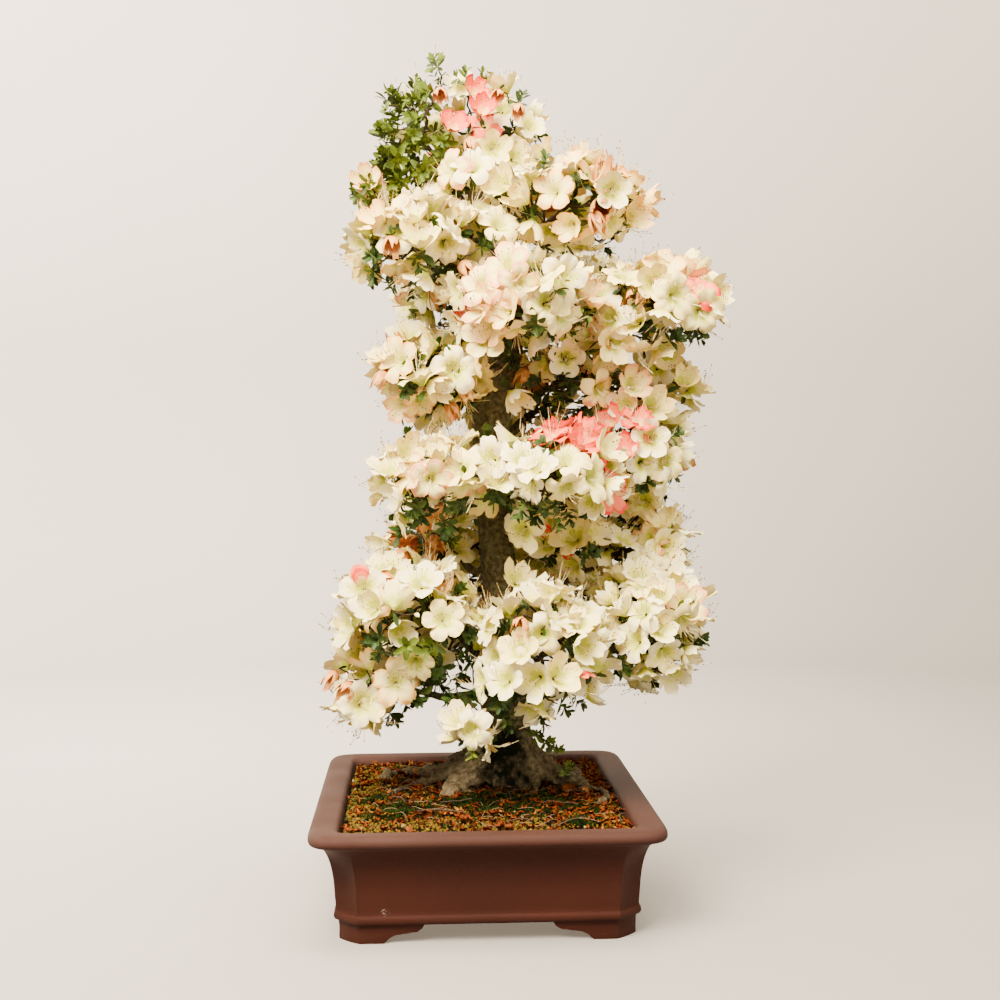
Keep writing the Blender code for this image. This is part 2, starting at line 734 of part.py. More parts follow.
def grow_mass(mass, seed, boughs, limbs, limb_trees, collection, material):
    """One mass: a stem from its bough's tip, a dense core, and twigs with blossoms and leaves."""
    rng = random.Random(seed)
    _, ribs = boughs[mass.name]
    body = new_object(mass.name, core_mesh(mass, limbs, rng), collection)
    if touches(body.data, limb_trees):
        cut_clear(body, boughs)
    pieces = new_collection("pieces", hidden=True)
    tip = Vector(ribs[-1][:3])
    along = (tip - Vector(ribs[-2][:3])).normalized()
    root = tip + along * CLEARANCE * 2
    line = (root, root + along * STEM_LEAD, mass.centre)
    stem = [Rib(*point, ribs[-1].radius * (1 - 0.2 * step)) for step, point in enumerate(line)]
    tube("stem", stem, BOUGH_SIDES, pieces)
    growth = Growth(mass, limb_trees, pieces)
    blossoms = shoots = 0
    ways = sites(mass, rng)
    for way, outward, normal in ways:
        if blossoms < mass.blossoms and way.z > BLOSSOM_LOWEST:
            blossoms += growth.grow_blossom(outward, normal, rng)
    for way, outward, normal in ways:
        if shoots < mass.shoots:
            shoots += growth.grow_shoot(outward, normal, rng)
    bpy.context.view_layer.update()
    apply_boolean(body, "UNION", pieces)
    empty_out(pieces)
    keep_outer_shell(body.data)
    body.data.materials.append(material)
    print(f"{mass.name}: {blossoms} blossoms, {shoots} shoots, {len(body.data.polygons)} faces")
    return body


def build_masses(boughs, trunk, collection, material):
    limbs = limb_tree([TRUNK] + [ribs for _, ribs in boughs.values()])
    limb_trees = [tree_of(trunk)] + [tree_of(bough) for bough, _ in boughs.values()]
    for index, mass in enumerate(MASSES):
        grow_mass(mass, SEED + index, boughs, limbs, limb_trees, collection, material)


def main():
    clear_scene()
    plant = new_collection("azalea_bonsai")
    clay = new_material("unglazed_clay", (0.110, 0.036, 0.022), 0.62)
    earth = new_material("moss_and_soil", (0.130, 0.085, 0.020), 0.95)
    bark = new_material("bark", (0.110, 0.085, 0.050), 0.90)
    bloom = new_material("blossom", (0.860, 0.800, 0.660), 0.60)
    build_pot(plant, clay)
    build_soil(plant, earth)
    trunk = build_trunk(plant, bark)
    boughs = build_boughs(plant, bark)
    build_masses(boughs, trunk, plant, bloom)
    stand = bpy.data.objects.new("pot_centre", None)
    plant.objects.link(stand)
    for obj in plant.objects:
        if obj is not stand:
            obj.parent = stand
    stand.location = POT_CENTRE


main()
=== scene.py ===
"""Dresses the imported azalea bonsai: bark, blossom, leaves, clay, soil, floor, light and camera.

Run as a script it registers its operators and calls them in order. Everything is in metres, in the
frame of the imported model, and grows in the spaces that the solids of the crown hold.
"""

import json
import math
import random
from collections import namedtuple
from functools import lru_cache

import bmesh
import bpy
import numpy as np
from bpy.props import FloatProperty, FloatVectorProperty, IntProperty, PointerProperty
from mathutils import Matrix, Vector, noise

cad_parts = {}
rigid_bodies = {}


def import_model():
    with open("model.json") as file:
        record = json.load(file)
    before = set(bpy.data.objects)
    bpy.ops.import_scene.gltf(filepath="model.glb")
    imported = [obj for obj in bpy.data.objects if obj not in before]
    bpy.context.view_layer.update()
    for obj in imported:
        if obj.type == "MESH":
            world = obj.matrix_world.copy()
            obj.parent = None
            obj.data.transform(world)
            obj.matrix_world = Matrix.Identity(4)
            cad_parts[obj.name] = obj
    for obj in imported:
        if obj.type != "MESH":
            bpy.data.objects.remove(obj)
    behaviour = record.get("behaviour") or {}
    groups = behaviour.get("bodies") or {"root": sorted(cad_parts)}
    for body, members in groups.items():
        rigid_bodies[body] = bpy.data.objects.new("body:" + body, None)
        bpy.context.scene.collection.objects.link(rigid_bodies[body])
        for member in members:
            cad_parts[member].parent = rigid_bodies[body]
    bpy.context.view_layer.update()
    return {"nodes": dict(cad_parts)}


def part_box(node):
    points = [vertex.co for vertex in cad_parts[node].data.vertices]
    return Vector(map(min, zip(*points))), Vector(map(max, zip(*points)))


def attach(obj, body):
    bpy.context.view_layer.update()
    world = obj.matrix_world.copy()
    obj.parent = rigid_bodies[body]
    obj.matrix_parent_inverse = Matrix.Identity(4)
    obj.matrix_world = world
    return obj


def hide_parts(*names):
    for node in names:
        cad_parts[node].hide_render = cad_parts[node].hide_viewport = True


bl_info = {
    "name": "Azalea Bonsai",
    "version": (1, 0, 0),
    "blender": (4, 5, 0),
    "location": "View3D > Sidebar > Azalea",
    "description": "Grows the blossom, leaves and bark of an azalea bonsai round its packed model",
    "category": "Object",
}

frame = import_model()
POT_LOW, POT_HIGH = (np.array(corner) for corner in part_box("pot"))
CENTRE = (POT_LOW + POT_HIGH) / 2 * (1, 1, 0)
LIP = (POT_HIGH - POT_LOW) / 2
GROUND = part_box("trunk")[0][2]

# The trunk: x, y, height and radius along its line, measured as all places here from the pot's centre
Rib = namedtuple("Rib", "x y z radius")
TRUNK = (
    Rib(0.038, 0.036, 0.114, 0.0370),
    Rib(0.037, 0.036, 0.154, 0.0315),
    Rib(0.031, 0.035, 0.220, 0.0295),
    Rib(0.027, 0.034, 0.300, 0.0250),
    Rib(0.025, 0.035, 0.382, 0.0230),
    Rib(0.020, 0.037, 0.458, 0.0225),
    Rib(0.015, 0.036, 0.546, 0.0225),
    Rib(0.018, 0.035, 0.594, 0.0225),
    Rib(0.028, 0.035, 0.636, 0.0205),
    Rib(0.040, 0.036, 0.686, 0.0180),
    Rib(0.037, 0.038, 0.746, 0.0155),
    Rib(0.021, 0.038, 0.807, 0.0130),
    Rib(0.004, 0.036, 0.850, 0.0100),
    Rib(-0.006, 0.035, 0.874, 0.0085),
)

# A surface root: its angle from +X, how far it runs, its thickness, its sideways bend in degrees,
# and how far above the ground it leaves the trunk
Root = namedtuple("Root", "angle reach radius bend start")
ROOTS = (
    Root(138, 0.165, 0.0130, 20, 0.080),
    Root(156, 0.140, 0.0110, 6, 0.070),
    Root(176, 0.145, 0.0105, 14, 0.060),
    Root(208, 0.098, 0.0235, 4, 0.092),
    Root(240, 0.060, 0.0080, -8, 0.026),
    Root(306, 0.064, 0.0135, -10, 0.080),
    Root(336, 0.098, 0.0105, 6, 0.056),
    Root(354, 0.140, 0.0090, -42, 0.066),
    Root(30, 0.110, 0.0125, 14, 0.072),
    Root(72, 0.100, 0.0145, -12, 0.072),
    Root(108, 0.108, 0.0130, 12, 0.070),
)

# A mass of blossom: the centre and reach of its space, where its bough leaves the trunk, the
# bough's thickness, and the share of its shoots that bear leaves instead of blossom
Mass = namedtuple("Mass", "name centre reach fork thickness leafy")
MASSES = (
    Mass("crown_left", (-0.070, 0.020, 0.935), (0.058, 0.064, 0.078), 0.828, 0.0060, 0.94),
    Mass("crown_right", (0.020, 0.030, 0.943), (0.070, 0.072, 0.075), 0.872, 0.0052, 0.15),
    Mass("crown_back", (-0.025, 0.100, 0.880), (0.073, 0.068, 0.073), 0.844, 0.0055, 0.15),
    Mass("shoulder_left", (-0.124, 0.035, 0.863), (0.040, 0.048, 0.038), 0.807, 0.0050, 0.60),
    Mass("upper_left", (-0.075, -0.045, 0.790), (0.090, 0.084, 0.065), 0.738, 0.0080, 0.05),
    Mass("upper_right", (0.113, -0.005, 0.848), (0.110, 0.088, 0.068), 0.783, 0.0085, 0.05),
    Mass("middle_front", (0.046, -0.075, 0.720), (0.096, 0.084, 0.064), 0.665, 0.0080, 0.05),
    Mass("middle_right", (0.217, -0.005, 0.725), (0.096, 0.090, 0.063), 0.700, 0.0085, 0.06),
    Mass("left_shelf", (-0.061, -0.025, 0.640), (0.074, 0.082, 0.063), 0.611, 0.0085, 0.05),
    Mass("right_shelf", (0.180, 0.045, 0.632), (0.109, 0.084, 0.053), 0.621, 0.0090, 0.14),
    Mass("waist_left", (-0.050, -0.065, 0.507), (0.086, 0.084, 0.064), 0.472, 0.0095, 0.04),
    Mass("waist_front", (0.086, -0.100, 0.516), (0.084, 0.076, 0.068), 0.452, 0.0090, 0.04),
    Mass("waist_right", (0.197, 0.025, 0.545), (0.076, 0.084, 0.071), 0.517, 0.0095, 0.06),
    Mass("elbow_left", (-0.070, 0.040, 0.430), (0.060, 0.060, 0.043), 0.392, 0.0075, 0.35),
    Mass("inner_right", (0.112, 0.015, 0.430), (0.052, 0.056, 0.046), 0.402, 0.0075, 0.12),
    Mass("low_right", (0.208, 0.060, 0.422), (0.069, 0.080, 0.069), 0.362, 0.0095, 0.06),
    Mass("skirt_left", (-0.086, -0.050, 0.350), (0.094, 0.094, 0.077), 0.306, 0.0100, 0.05),
    Mass("skirt_low_left", (-0.136, -0.025, 0.256), (0.056, 0.070, 0.057), 0.245, 0.0085, 0.05),
    Mass("skirt_drop", (-0.013, -0.110, 0.222), (0.037, 0.042, 0.042), 0.257, 0.0060, 0.05),
    Mass("skirt_front", (0.065, -0.110, 0.311), (0.084, 0.082, 0.090), 0.280, 0.0100, 0.04),
    Mass("skirt_right", (0.200, -0.045, 0.333), (0.080, 0.092, 0.084), 0.316, 0.0100, 0.05),
    Mass("back_skirt_left", (-0.070, 0.135, 0.325), (0.088, 0.082, 0.072), 0.285, 0.0095, 0.08),
    Mass("back_skirt_right", (0.095, 0.160, 0.345), (0.097, 0.082, 0.076), 0.326, 0.0105, 0.08),
    Mass("back_waist", (0.004, 0.150, 0.500), (0.102, 0.082, 0.072), 0.457, 0.0100, 0.08),
    Mass("back_middle_left", (-0.044, 0.115, 0.633), (0.081, 0.076, 0.063), 0.597, 0.0085, 0.08),
    Mass("back_middle_right", (0.103, 0.150, 0.608), (0.096, 0.082, 0.072), 0.567, 0.0095, 0.08),
    Mass("back_upper_left", (-0.017, 0.130, 0.758), (0.090, 0.076, 0.066), 0.729, 0.0080, 0.08),
    Mass("back_upper_right", (0.126, 0.125, 0.747), (0.095, 0.078, 0.069), 0.714, 0.0085, 0.08),
)
CROWN_LEFT, SHOULDER_LEFT = 0, 3
YOUNG_MASSES = (CROWN_LEFT, SHOULDER_LEFT)

# A space between masses that one of them fills with a few more shoots: its centre and reach, that
# mass's number, and the share of leafy shoots
Filler = namedtuple("Filler", "centre reach mass leafy")
FILLERS = (
    Filler((-0.012, -0.014, 0.882), (0.048, 0.046, 0.046), 1, 0.12),
    Filler((0.008, 0.105, 0.415), (0.110, 0.054, 0.056), 23, 0.30),
    Filler((-0.040, -0.045, 0.284), (0.062, 0.050, 0.044), 16, 0.90),
    Filler((0.020, -0.080, 0.268), (0.050, 0.046, 0.044), 19, 0.25),
    Filler((0.045, 0.130, 0.600), (0.055, 0.050, 0.062), 25, 0.35),
    Filler((0.105, 0.000, 0.648), (0.060, 0.050, 0.046), 9, 0.25),
    Filler((0.036, -0.010, 0.672), (0.036, 0.036, 0.034), 6, 0.80),
    Filler((0.018, -0.065, 0.530), (0.050, 0.062, 0.043), 10, 0.25),
    Filler((-0.062, -0.055, 0.264), (0.052, 0.046, 0.030), 16, 0.90),
    Filler((-0.030, 0.070, 0.450), (0.050, 0.036, 0.046), 13, 0.45),
    Filler((0.090, 0.035, 0.472), (0.056, 0.046, 0.042), 12, 0.35),
    Filler((-0.024, 0.010, 0.995), (0.032, 0.036, 0.028), 1, 0.90),
    Filler((0.020, -0.032, 0.805), (0.044, 0.044, 0.042), 4, 0.30),
    Filler((0.180, -0.028, 0.686), (0.050, 0.048, 0.042), 7, 0.05),
)
SPACES = np.array([(*space.centre, *space.reach) for space in (*MASSES, *FILLERS)])
CENTRES, REACHES = SPACES[:, :3], SPACES[:, 3:]
OWNERS = (*range(len(MASSES)), *(filler.mass for filler in FILLERS))
LEAFY = tuple(space.leafy for space in (*MASSES, *FILLERS))

# How far the spaces melt together, the places tried round each of them, how far those are scattered,
# how far one may miss its layer, and its least distance from the limbs
MELT = 0.010
SITES = 420
SITE_SCATTER = 0.003
LAYER_MISS = 0.002
LIMB_BERTH = 0.012
# How deep under the crown's skin its two layers of heads lie
OUTER_DEPTH = 0.008
INNER_DEPTH = 0.028
# The downward slopes from which an underside begins and is full, and its added share of leafy shoots
UNDERSIDE = (0.30, 0.75)
UNDERSIDE_LEAFY = 0.62
# How far a head leans up, how far it turns by chance, and how a withered one differs
LIFT = 0.16
WOBBLE = 0.40
WITHERED_SIZE = 0.72
WITHERED_DROOP = 1.3
# The heights between which the heads get smaller towards the top, and by how much
TOP_BAND = (0.90, 0.96)
TOP_SHRINK = 0.16
# The shoots beside each leafy one of the young masses
SIDE_SHOOTS = 2
# The height above which every leaf is young, and the share of the other heads with young leaves
YOUNG_HEIGHT = 0.985
YOUNG_SHARE = 0.07
# A bough's steps, its loss of thickness, its sag, and where it ends, as a share of its mass's reach
BOUGH_STEPS = 8
BOUGH_TAPER = 0.5
BOUGH_SAG = 0.012
ENTRY_SHARE = 0.82

# A height between two masses where the trunk shows from the front, and how wide it is kept open
Window = namedtuple("Window", "low high half_width")
WINDOWS = (Window(0.372, 0.470, 0.030), Window(0.576, 0.616, 0.032))

# Growth of one kind within a distance of a place, for that share of the heads there
Tint = namedtuple("Tint", "place distance kind share")
TINTS = (
    Tint((0.155, -0.045, 0.557), 0.050, "coral", 0.95),
    Tint((0.163, -0.070, 0.510), 0.036, "coral", 0.85),
    Tint((0.105, -0.125, 0.567), 0.034, "coral", 0.80),
    Tint((-0.020, -0.125, 0.695), 0.024, "coral", 0.80),
    Tint((0.020, -0.135, 0.715), 0.045, "blush", 0.75),
    Tint((-0.026, -0.005, 1.010), 0.026, "shoot", 0.95),
    Tint((-0.052, 0.010, 1.003), 0.034, "shoot", 0.95),
    Tint((-0.135, 0.000, 0.872), 0.020, "blush", 0.70),
    Tint((-0.012, -0.030, 0.967), 0.036, "coral", 0.80),
    Tint((-0.030, -0.020, 0.990), 0.026, "withered", 0.45),
    Tint((0.112, -0.080, 0.568), 0.036, "coral", 0.85),
    Tint((0.187, -0.085, 0.660), 0.024, "withered", 0.80),
    Tint((0.031, -0.100, 0.792), 0.020, "withered", 0.80),
    Tint((0.037, -0.040, 0.897), 0.024, "withered", 0.70),
    Tint((0.008, -0.080, 0.560), 0.020, "shoot", 0.60),
    Tint((0.135, -0.080, 0.836), 0.036, "withered", 0.45),
    Tint((0.065, -0.050, 0.885), 0.020, "coral", 0.60),
    Tint((0.170, -0.045, 0.880), 0.032, "withered", 0.45),
    Tint((0.145, -0.045, 0.860), 0.075, "peach", 0.55),
    Tint((0.255, -0.045, 0.740), 0.026, "coral", 0.80),
    Tint((-0.120, -0.105, 0.392), 0.026, "sector", 0.95),
    Tint((-0.075, -0.065, 0.590), 0.032, "blush", 0.80),
    Tint((0.055, -0.020, 0.985), 0.034, "withered", 0.45),
    Tint((-0.070, 0.000, 0.430), 0.055, "withered", 0.60),
    Tint((-0.155, -0.045, 0.268), 0.036, "withered", 0.50),
    Tint((-0.125, -0.070, 0.325), 0.065, "peach", 0.35),
    Tint((-0.095, -0.085, 0.850), 0.060, "peach", 0.35),
    Tint((0.118, -0.165, 0.275), 0.026, "sector", 0.80),
    Tint((0.105, -0.005, 0.430), 0.035, "sector", 0.60),
    Tint((-0.015, -0.045, 0.610), 0.030, "withered", 0.50),
    Tint((-0.040, -0.090, 0.325), 0.030, "shoot", 0.80),
    Tint((-0.030, -0.080, 0.285), 0.042, "shoot", 0.85),
    Tint((-0.075, -0.070, 0.270), 0.030, "shoot", 0.80),
    Tint((0.010, -0.060, 0.795), 0.022, "shoot", 0.80),
    Tint((-0.020, -0.050, 0.740), 0.032, "shoot", 0.70),
    Tint((0.120, -0.100, 0.690), 0.028, "shoot", 0.75),
    Tint((0.065, -0.085, 0.665), 0.032, "shoot", 0.75),
    Tint((0.135, -0.040, 0.805), 0.026, "shoot", 0.65),
    Tint((0.268, -0.040, 0.690), 0.022, "shoot", 0.70),
    Tint((0.035, -0.110, 0.470), 0.024, "shoot", 0.70),
    Tint((0.140, -0.110, 0.354), 0.018, "shoot", 0.70),
    Tint((0.045, -0.130, 0.265), 0.024, "shoot", 0.60),
)

# A single blossom that hangs in front of the trunk: the mass that carries it, and how it stands
Single = namedtuple("Single", "mass place way kind size")
SINGLES = (
    Single(11, (0.045, -0.070, 0.447), (-0.50, -0.80, -0.30), "white", 1.00),
    Single(19, (0.044, -0.050, 0.392), (0.15, -0.80, 0.60), "white", 1.02),
    Single(6, (0.003, -0.105, 0.678), (-0.15, -1.00, 0.10), "cream", 1.08),
    Single(6, (-0.012, -0.080, 0.702), (-0.40, -0.90, 0.30), "coral", 0.95),
    Single(6, (0.044, -0.030, 0.607), (0.55, -0.50, -0.65), "white", 0.95),
)

# The usual share of each kind, by the height up to which it holds
KINDS = ("white", "cream", "sector", "peach", "blush", "bud", "withered")
MIXES = (
    (0.44, (0.78, 0.14, 0.02, 0.00, 0.02, 0.02, 0.02)),
    (0.60, (0.46, 0.44, 0.02, 0.00, 0.04, 0.02, 0.02)),
    (0.76, (0.40, 0.42, 0.00, 0.06, 0.06, 0.02, 0.04)),
    (9.00, (0.34, 0.42, 0.00, 0.09, 0.05, 0.03, 0.07)),
)

# The finish of each of a lobe's bands, from the throat to the rim, by the blossom's kind
PALETTES = {
    "white": ("throat", "throat", "throat_pale", "petal_soft", "petal_white", "petal_white"),
    "cream": ("throat", "throat", "throat_pale", "petal_soft", "petal_cream", "petal_cream"),
    "blush": ("throat", "throat_pale", "petal_soft", "petal_cream", "petal_shell", "petal_blush"),
    "sector": ("throat", "throat", "throat_pale", "petal_soft", "petal_white", "petal_white"),
    "coral": ("throat_pale", "petal_blush", *("petal_salmon",) * 3, "petal_coral"),
    "peach": ("throat", "throat_pale", "petal_soft", "petal_cream", "petal_shell", "petal_peach"),
    "withered": ("petal_rust", "petal_rust", "petal_tan", "petal_tan", "petal_straw", "petal_tan"),
}
PETAL_BUMP = (260.0, (1, 1, 1), 0.3, 0.0006)
# The outer bands of a sector blossom's one tinted lobe
SECTOR_BANDS = ("petal_blush", "petal_salmon", "petal_coral", "petal_salmon")
# The tiers of the crown: name, and the heights between which each lies
TIERS = (("lower", 0.0, 0.46), ("middle", 0.46, 0.70), ("upper", 0.70, 2.0))
# The share of leafy shoots that keep a bare style, by tier
BARE_STYLES = {"lower": 0.06, "middle": 0.06, "upper": 0.35}
GOLDEN_ANGLE = math.pi * (3 - math.sqrt(5))
UP = np.array((0.0, 0.0, 1.0))


# Settings that a user would change


def colour_setting(name, description, default):
    return FloatVectorProperty(name=name, description=description, subtype="COLOR", default=default)


def length_setting(name, description, default):
    return FloatProperty(name=name, description=description, unit="LENGTH", default=default)


class PotSettings(bpy.types.PropertyGroup):
    clay: colour_setting("Clay", "Colour of the unglazed clay", (0.0275, 0.0060, 0.0024))
    bloom: colour_setting("Mineral Bloom", "Colour of the dry mineral film", (0.078, 0.045, 0.034))
    edge: length_setting("Edge", "Width of the softened edges of the feet", 0.0012)


class TreeSettings(bpy.types.PropertyGroup):
    bark: colour_setting("Bark", "Colour of the bark", (0.225, 0.178, 0.090))
    lichen: colour_setting("Lichen", "Colour of the lichen on it", (0.235, 0.215, 0.095))
    grain: length_setting("Grain", "Size of the mesh's faces on the bark", 0.0028)
    relief: length_setting("Relief", "Depth of the ridges in the bark", 0.0026)


class BlossomSettings(bpy.types.PropertyGroup):
    width: length_setting("Width", "Width of an open blossom", 0.059)
    depth: length_setting("Depth", "Depth of its funnel", 0.019)
    spacing: length_setting("Spacing", "Least distance between two blossoms", 0.0285)
    lobes: IntProperty(name="Lobes", description="Lobes of a blossom", default=5, min=3, max=8)
    white: colour_setting("White", "Colour of the fresh petals", (0.92, 0.79, 0.42))


class LeafSettings(bpy.types.PropertyGroup):
    length: length_setting("Length", "Length of a full leaf", 0.021)
    green: colour_setting("Green", "Colour of the older leaves", (0.022, 0.042, 0.006))
    fresh: colour_setting("Fresh Green", "Colour of the young leaves", (0.088, 0.118, 0.010))


class SoilSettings(bpy.types.PropertyGroup):
    granules: IntProperty(name="Granules", description="Number of loose granules", default=9800)
    flakes: IntProperty(name="Flakes", description="Number of fallen flakes of petal", default=1700)
    tufts: IntProperty(name="Moss Tufts", description="Number of tufts of moss", default=5000)


class StageSettings(bpy.types.PropertyGroup):
    lens: FloatProperty(name="Lens", description="Focal length on a 36 mm sensor", default=53.7)
    wall: colour_setting("Floor", "Colour of the floor and the wall", (0.72, 0.65, 0.57))


# Meshes from arrays


class Shape:
    """Points, triangles, and for each triangle the number of its finish."""

    def __init__(self, points, faces, slots=None):
        self.points = np.asarray(points, float)
        self.faces = np.asarray(faces, int)
        self.slots = np.zeros(len(self.faces), int) if slots is None else np.asarray(slots, int)


def joined(shapes):
    starts = np.cumsum([0] + [len(shape.points) for shape in shapes])
    return Shape(
        np.concatenate([shape.points for shape in shapes]),
        np.concatenate([shape.faces + start for shape, start in zip(shapes, starts)]),
        np.concatenate([shape.slots for shape in shapes]),
    )


def copies(shape, turns, places, finishes=None):
    """One shape of many copies, each turned by a 3 x 3 matrix and put at its place.

    finishes holds, for each copy, the finish that each of the shape's slots takes.
    """
    points = np.einsum("kij,nj->kni", turns, shape.points) + places[:, None]
    faces = shape.faces + np.arange(len(places))[:, None, None] * len(shape.points)
    slots = np.tile(shape.slots, (len(places), 1))
    if finishes is not None:
        slots = np.asarray(finishes)[:, shape.slots]
    return Shape(points.reshape(-1, 3), faces.reshape(-1, 3), slots.reshape(-1))


def mingled(forms, pick, turns, places, finishes):
    """One shape of many copies, each of the form that its number picks and in one finish."""
    return joined(
        [
            copies(form, turns[pick == i], places[pick == i], finishes[pick == i][:, None])
            for i, form in enumerate(forms)
        ]
    )


def sheet_faces(rows, columns, closed=False):
    """The triangles between rows of points. Closed rows join their last point to their first."""
    row, column = np.meshgrid(np.arange(rows - 1), np.arange(columns - (not closed)), indexing="ij")
    a = row * columns + column
    b = row * columns + (column + 1) % columns
    near = np.stack((a, b, b + columns), -1).reshape(-1, 3)
    far = np.stack((a, b + columns, a + columns), -1).reshape(-1, 3)
    return np.concatenate((near, far))


def unit(vectors):
    return vectors / np.maximum(np.linalg.norm(vectors, axis=-1, keepdims=True), 1e-9)


def end_caps(rows, columns):
    """The triangles that close the first and the last of a tube's rings."""
    fan = np.array([(0, i, i + 1) for i in range(1, columns - 1)])
    return fan[:, ::-1], fan + (rows - 1) * columns


def tubes(lines, radii, sides):
    """Round tubes along many lines of equally many points, as one shape with closed ends."""
    lines, radii = np.asarray(lines, float), np.asarray(radii, float)
    count, steps = lines.shape[:2]
    along = unit(np.gradient(lines, axis=1))
    side = unit(np.cross(along, np.where(np.abs(along[..., 2:]) > 0.9, (1.0, 0.0, 0.0), UP)))
    over = np.cross(along, side)
    angle = np.arange(sides) / sides * math.tau
    ring = np.cos(angle)[:, None] * side[:, :, None] + np.sin(angle)[:, None] * over[:, :, None]
    points = lines[:, :, None] + ring * radii[:, :, None, None]
    faces = np.concatenate((sheet_faces(steps, sides, closed=True)[:, ::-1], *end_caps(steps, sides)))
    faces = faces + np.arange(count)[:, None, None] * steps * sides
    return Shape(points.reshape(-1, 3), faces.reshape(-1, 3))


def new_piece(name, shape, materials, replaced=()):
    """The object of a shape, put at the pot's centre, riding on the plant's only body."""
    mesh = bpy.data.meshes.new(name)
    mesh.vertices.add(len(shape.points))
    mesh.vertices.foreach_set("co", (shape.points + CENTRE).ravel())
    mesh.loops.add(shape.faces.size)
    mesh.loops.foreach_set("vertex_index", shape.faces.ravel())
    mesh.polygons.add(len(shape.faces))
    mesh.polygons.foreach_set("loop_start", np.arange(0, shape.faces.size, 3))
    mesh.polygons.foreach_set("material_index", shape.slots)
    for material in materials:
        mesh.materials.append(material)
    mesh.update(calc_edges=True)
    mesh.validate()
    mesh.shade_smooth()
    piece = bpy.data.objects.new(name, mesh)
    bpy.context.scene.collection.objects.link(piece)
    settle(piece, replaced)
    return piece


def settle(piece, replaced=()):
    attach(piece, "root")
    if replaced:
        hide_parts(*replaced)


def aimed(ways, rng=None, upward=UP):
    """Turns whose +Z goes along each way, and whose +Y leans up, or any way where rng is given."""
    ways = unit(ways)
    lean = np.broadcast_to(upward, ways.shape) if rng is None else unit(rng.normal(size=ways.shape))
    lean = np.where(np.abs((lean * ways).sum(-1, keepdims=True)) > 0.98, (0.0, -1.0, 0.0), lean)
    x = unit(np.cross(lean, ways))
    return np.stack((x, np.cross(ways, x), ways), -1)


def scaled(turns, sizes):
    return turns * np.asarray(sizes)[:, None, None]


def ramp(value, low, high):
    """From 0 at low to 1 at high, smoothly."""
    t = np.clip((value - low) / (high - low), 0, 1)
    return t * t * (3 - 2 * t)


# Shader groups and finishes


def new_group(name, inputs, outputs):
    """An empty shader group with its sockets. Each socket is (name, kind, default)."""
    group = bpy.data.node_groups.new(name, "ShaderNodeTree")
    for label, kind, default in inputs:
        socket = group.interface.new_socket(label, in_out="INPUT", socket_type="NodeSocket" + kind)
        socket.default_value = default
    for label, kind in outputs:
        group.interface.new_socket(label, in_out="OUTPUT", socket_type="NodeSocket" + kind)
    return group, group.nodes.new("NodeGroupInput"), group.nodes.new("NodeGroupOutput")


def new_node(tree, kind, inputs=(), **settings):
    """A node with its settings, and each input set to a value or linked from another socket."""
    node = tree.nodes.new(kind)
    for name, value in settings.items():
        setattr(node, name, value)
    for name, value in dict(inputs).items():
        if isinstance(value, bpy.types.NodeSocket):
            tree.links.new(value, node.inputs[name])
        else:
            node.inputs[name].default_value = value
    return node


def mix_colours(tree, factor, first, second, blend="MIX"):
    inputs = {0: factor, 6: first, 7: second}
    return new_node(tree, "ShaderNodeMix", inputs, data_type="RGBA", blend_type=blend).outputs[2]


def maths(tree, operation, *values):
    """What a maths node makes of values or sockets."""
    return new_node(tree, "ShaderNodeMath", dict(enumerate(values)), operation=operation).outputs[0]


def ranged(tree, value, low, high, most=1.0, **settings):
    """From 0 where the value is low to the most where it is high."""
    inputs = {"Value": value, "From Min": low, "From Max": high, "To Max": most}
    return new_node(tree, "ShaderNodeMapRange", inputs, **settings).outputs[0]


def cloud(tree, place, scale, detail):
    """Soft noise at a place, round 0.5."""
    inputs = {"Vector": place, "Scale": scale, "Detail": detail}
    return new_node(tree, "ShaderNodeTexNoise", inputs).outputs["Fac"]


def surface_place(tree):
    return tree.nodes.new("ShaderNodeNewGeometry").outputs["Position"]


def place_parts(tree, place):
    """The X, Y and Z sockets of a place."""
    return new_node(tree, "ShaderNodeSeparateXYZ", {"Vector": place}).outputs


def distance_to(tree, place, middle):
    """How far a place lies from one that is measured from the pot's centre."""
    inputs = {0: place, 1: tuple(float(value) for value in CENTRE + middle)}
    return new_node(tree, "ShaderNodeVectorMath", inputs, operation="DISTANCE").outputs["Value"]


@lru_cache
def mottle_group():
    """Two colours mixed by soft noise over the surface."""
    group, start, end = new_group(
        "Mottle",
        (
            ("Colour", "Color", (1, 1, 1, 1)),
            ("Second Colour", "Color", (0, 0, 0, 1)),
            ("Scale", "Float", 60.0),
            ("Cover", "Float", 0.5),
            ("Softness", "Float", 0.2),
        ),
        (("Colour", "Color"), ("Mask", "Float")),
    )
    given = start.outputs
    level = maths(group, "SUBTRACT", 1.0, given["Cover"])
    low = maths(group, "SUBTRACT", level, given["Softness"])
    high = maths(group, "ADD", level, given["Softness"])
    spotted = cloud(group, surface_place(group), given["Scale"], 5.0)
    mask = ranged(group, spotted, low, high, interpolation_type="SMOOTHSTEP")
    mixed = mix_colours(group, mask, given["Colour"], given["Second Colour"])
    group.links.new(mixed, end.inputs["Colour"])
    group.links.new(mask, end.inputs["Mask"])
    return group


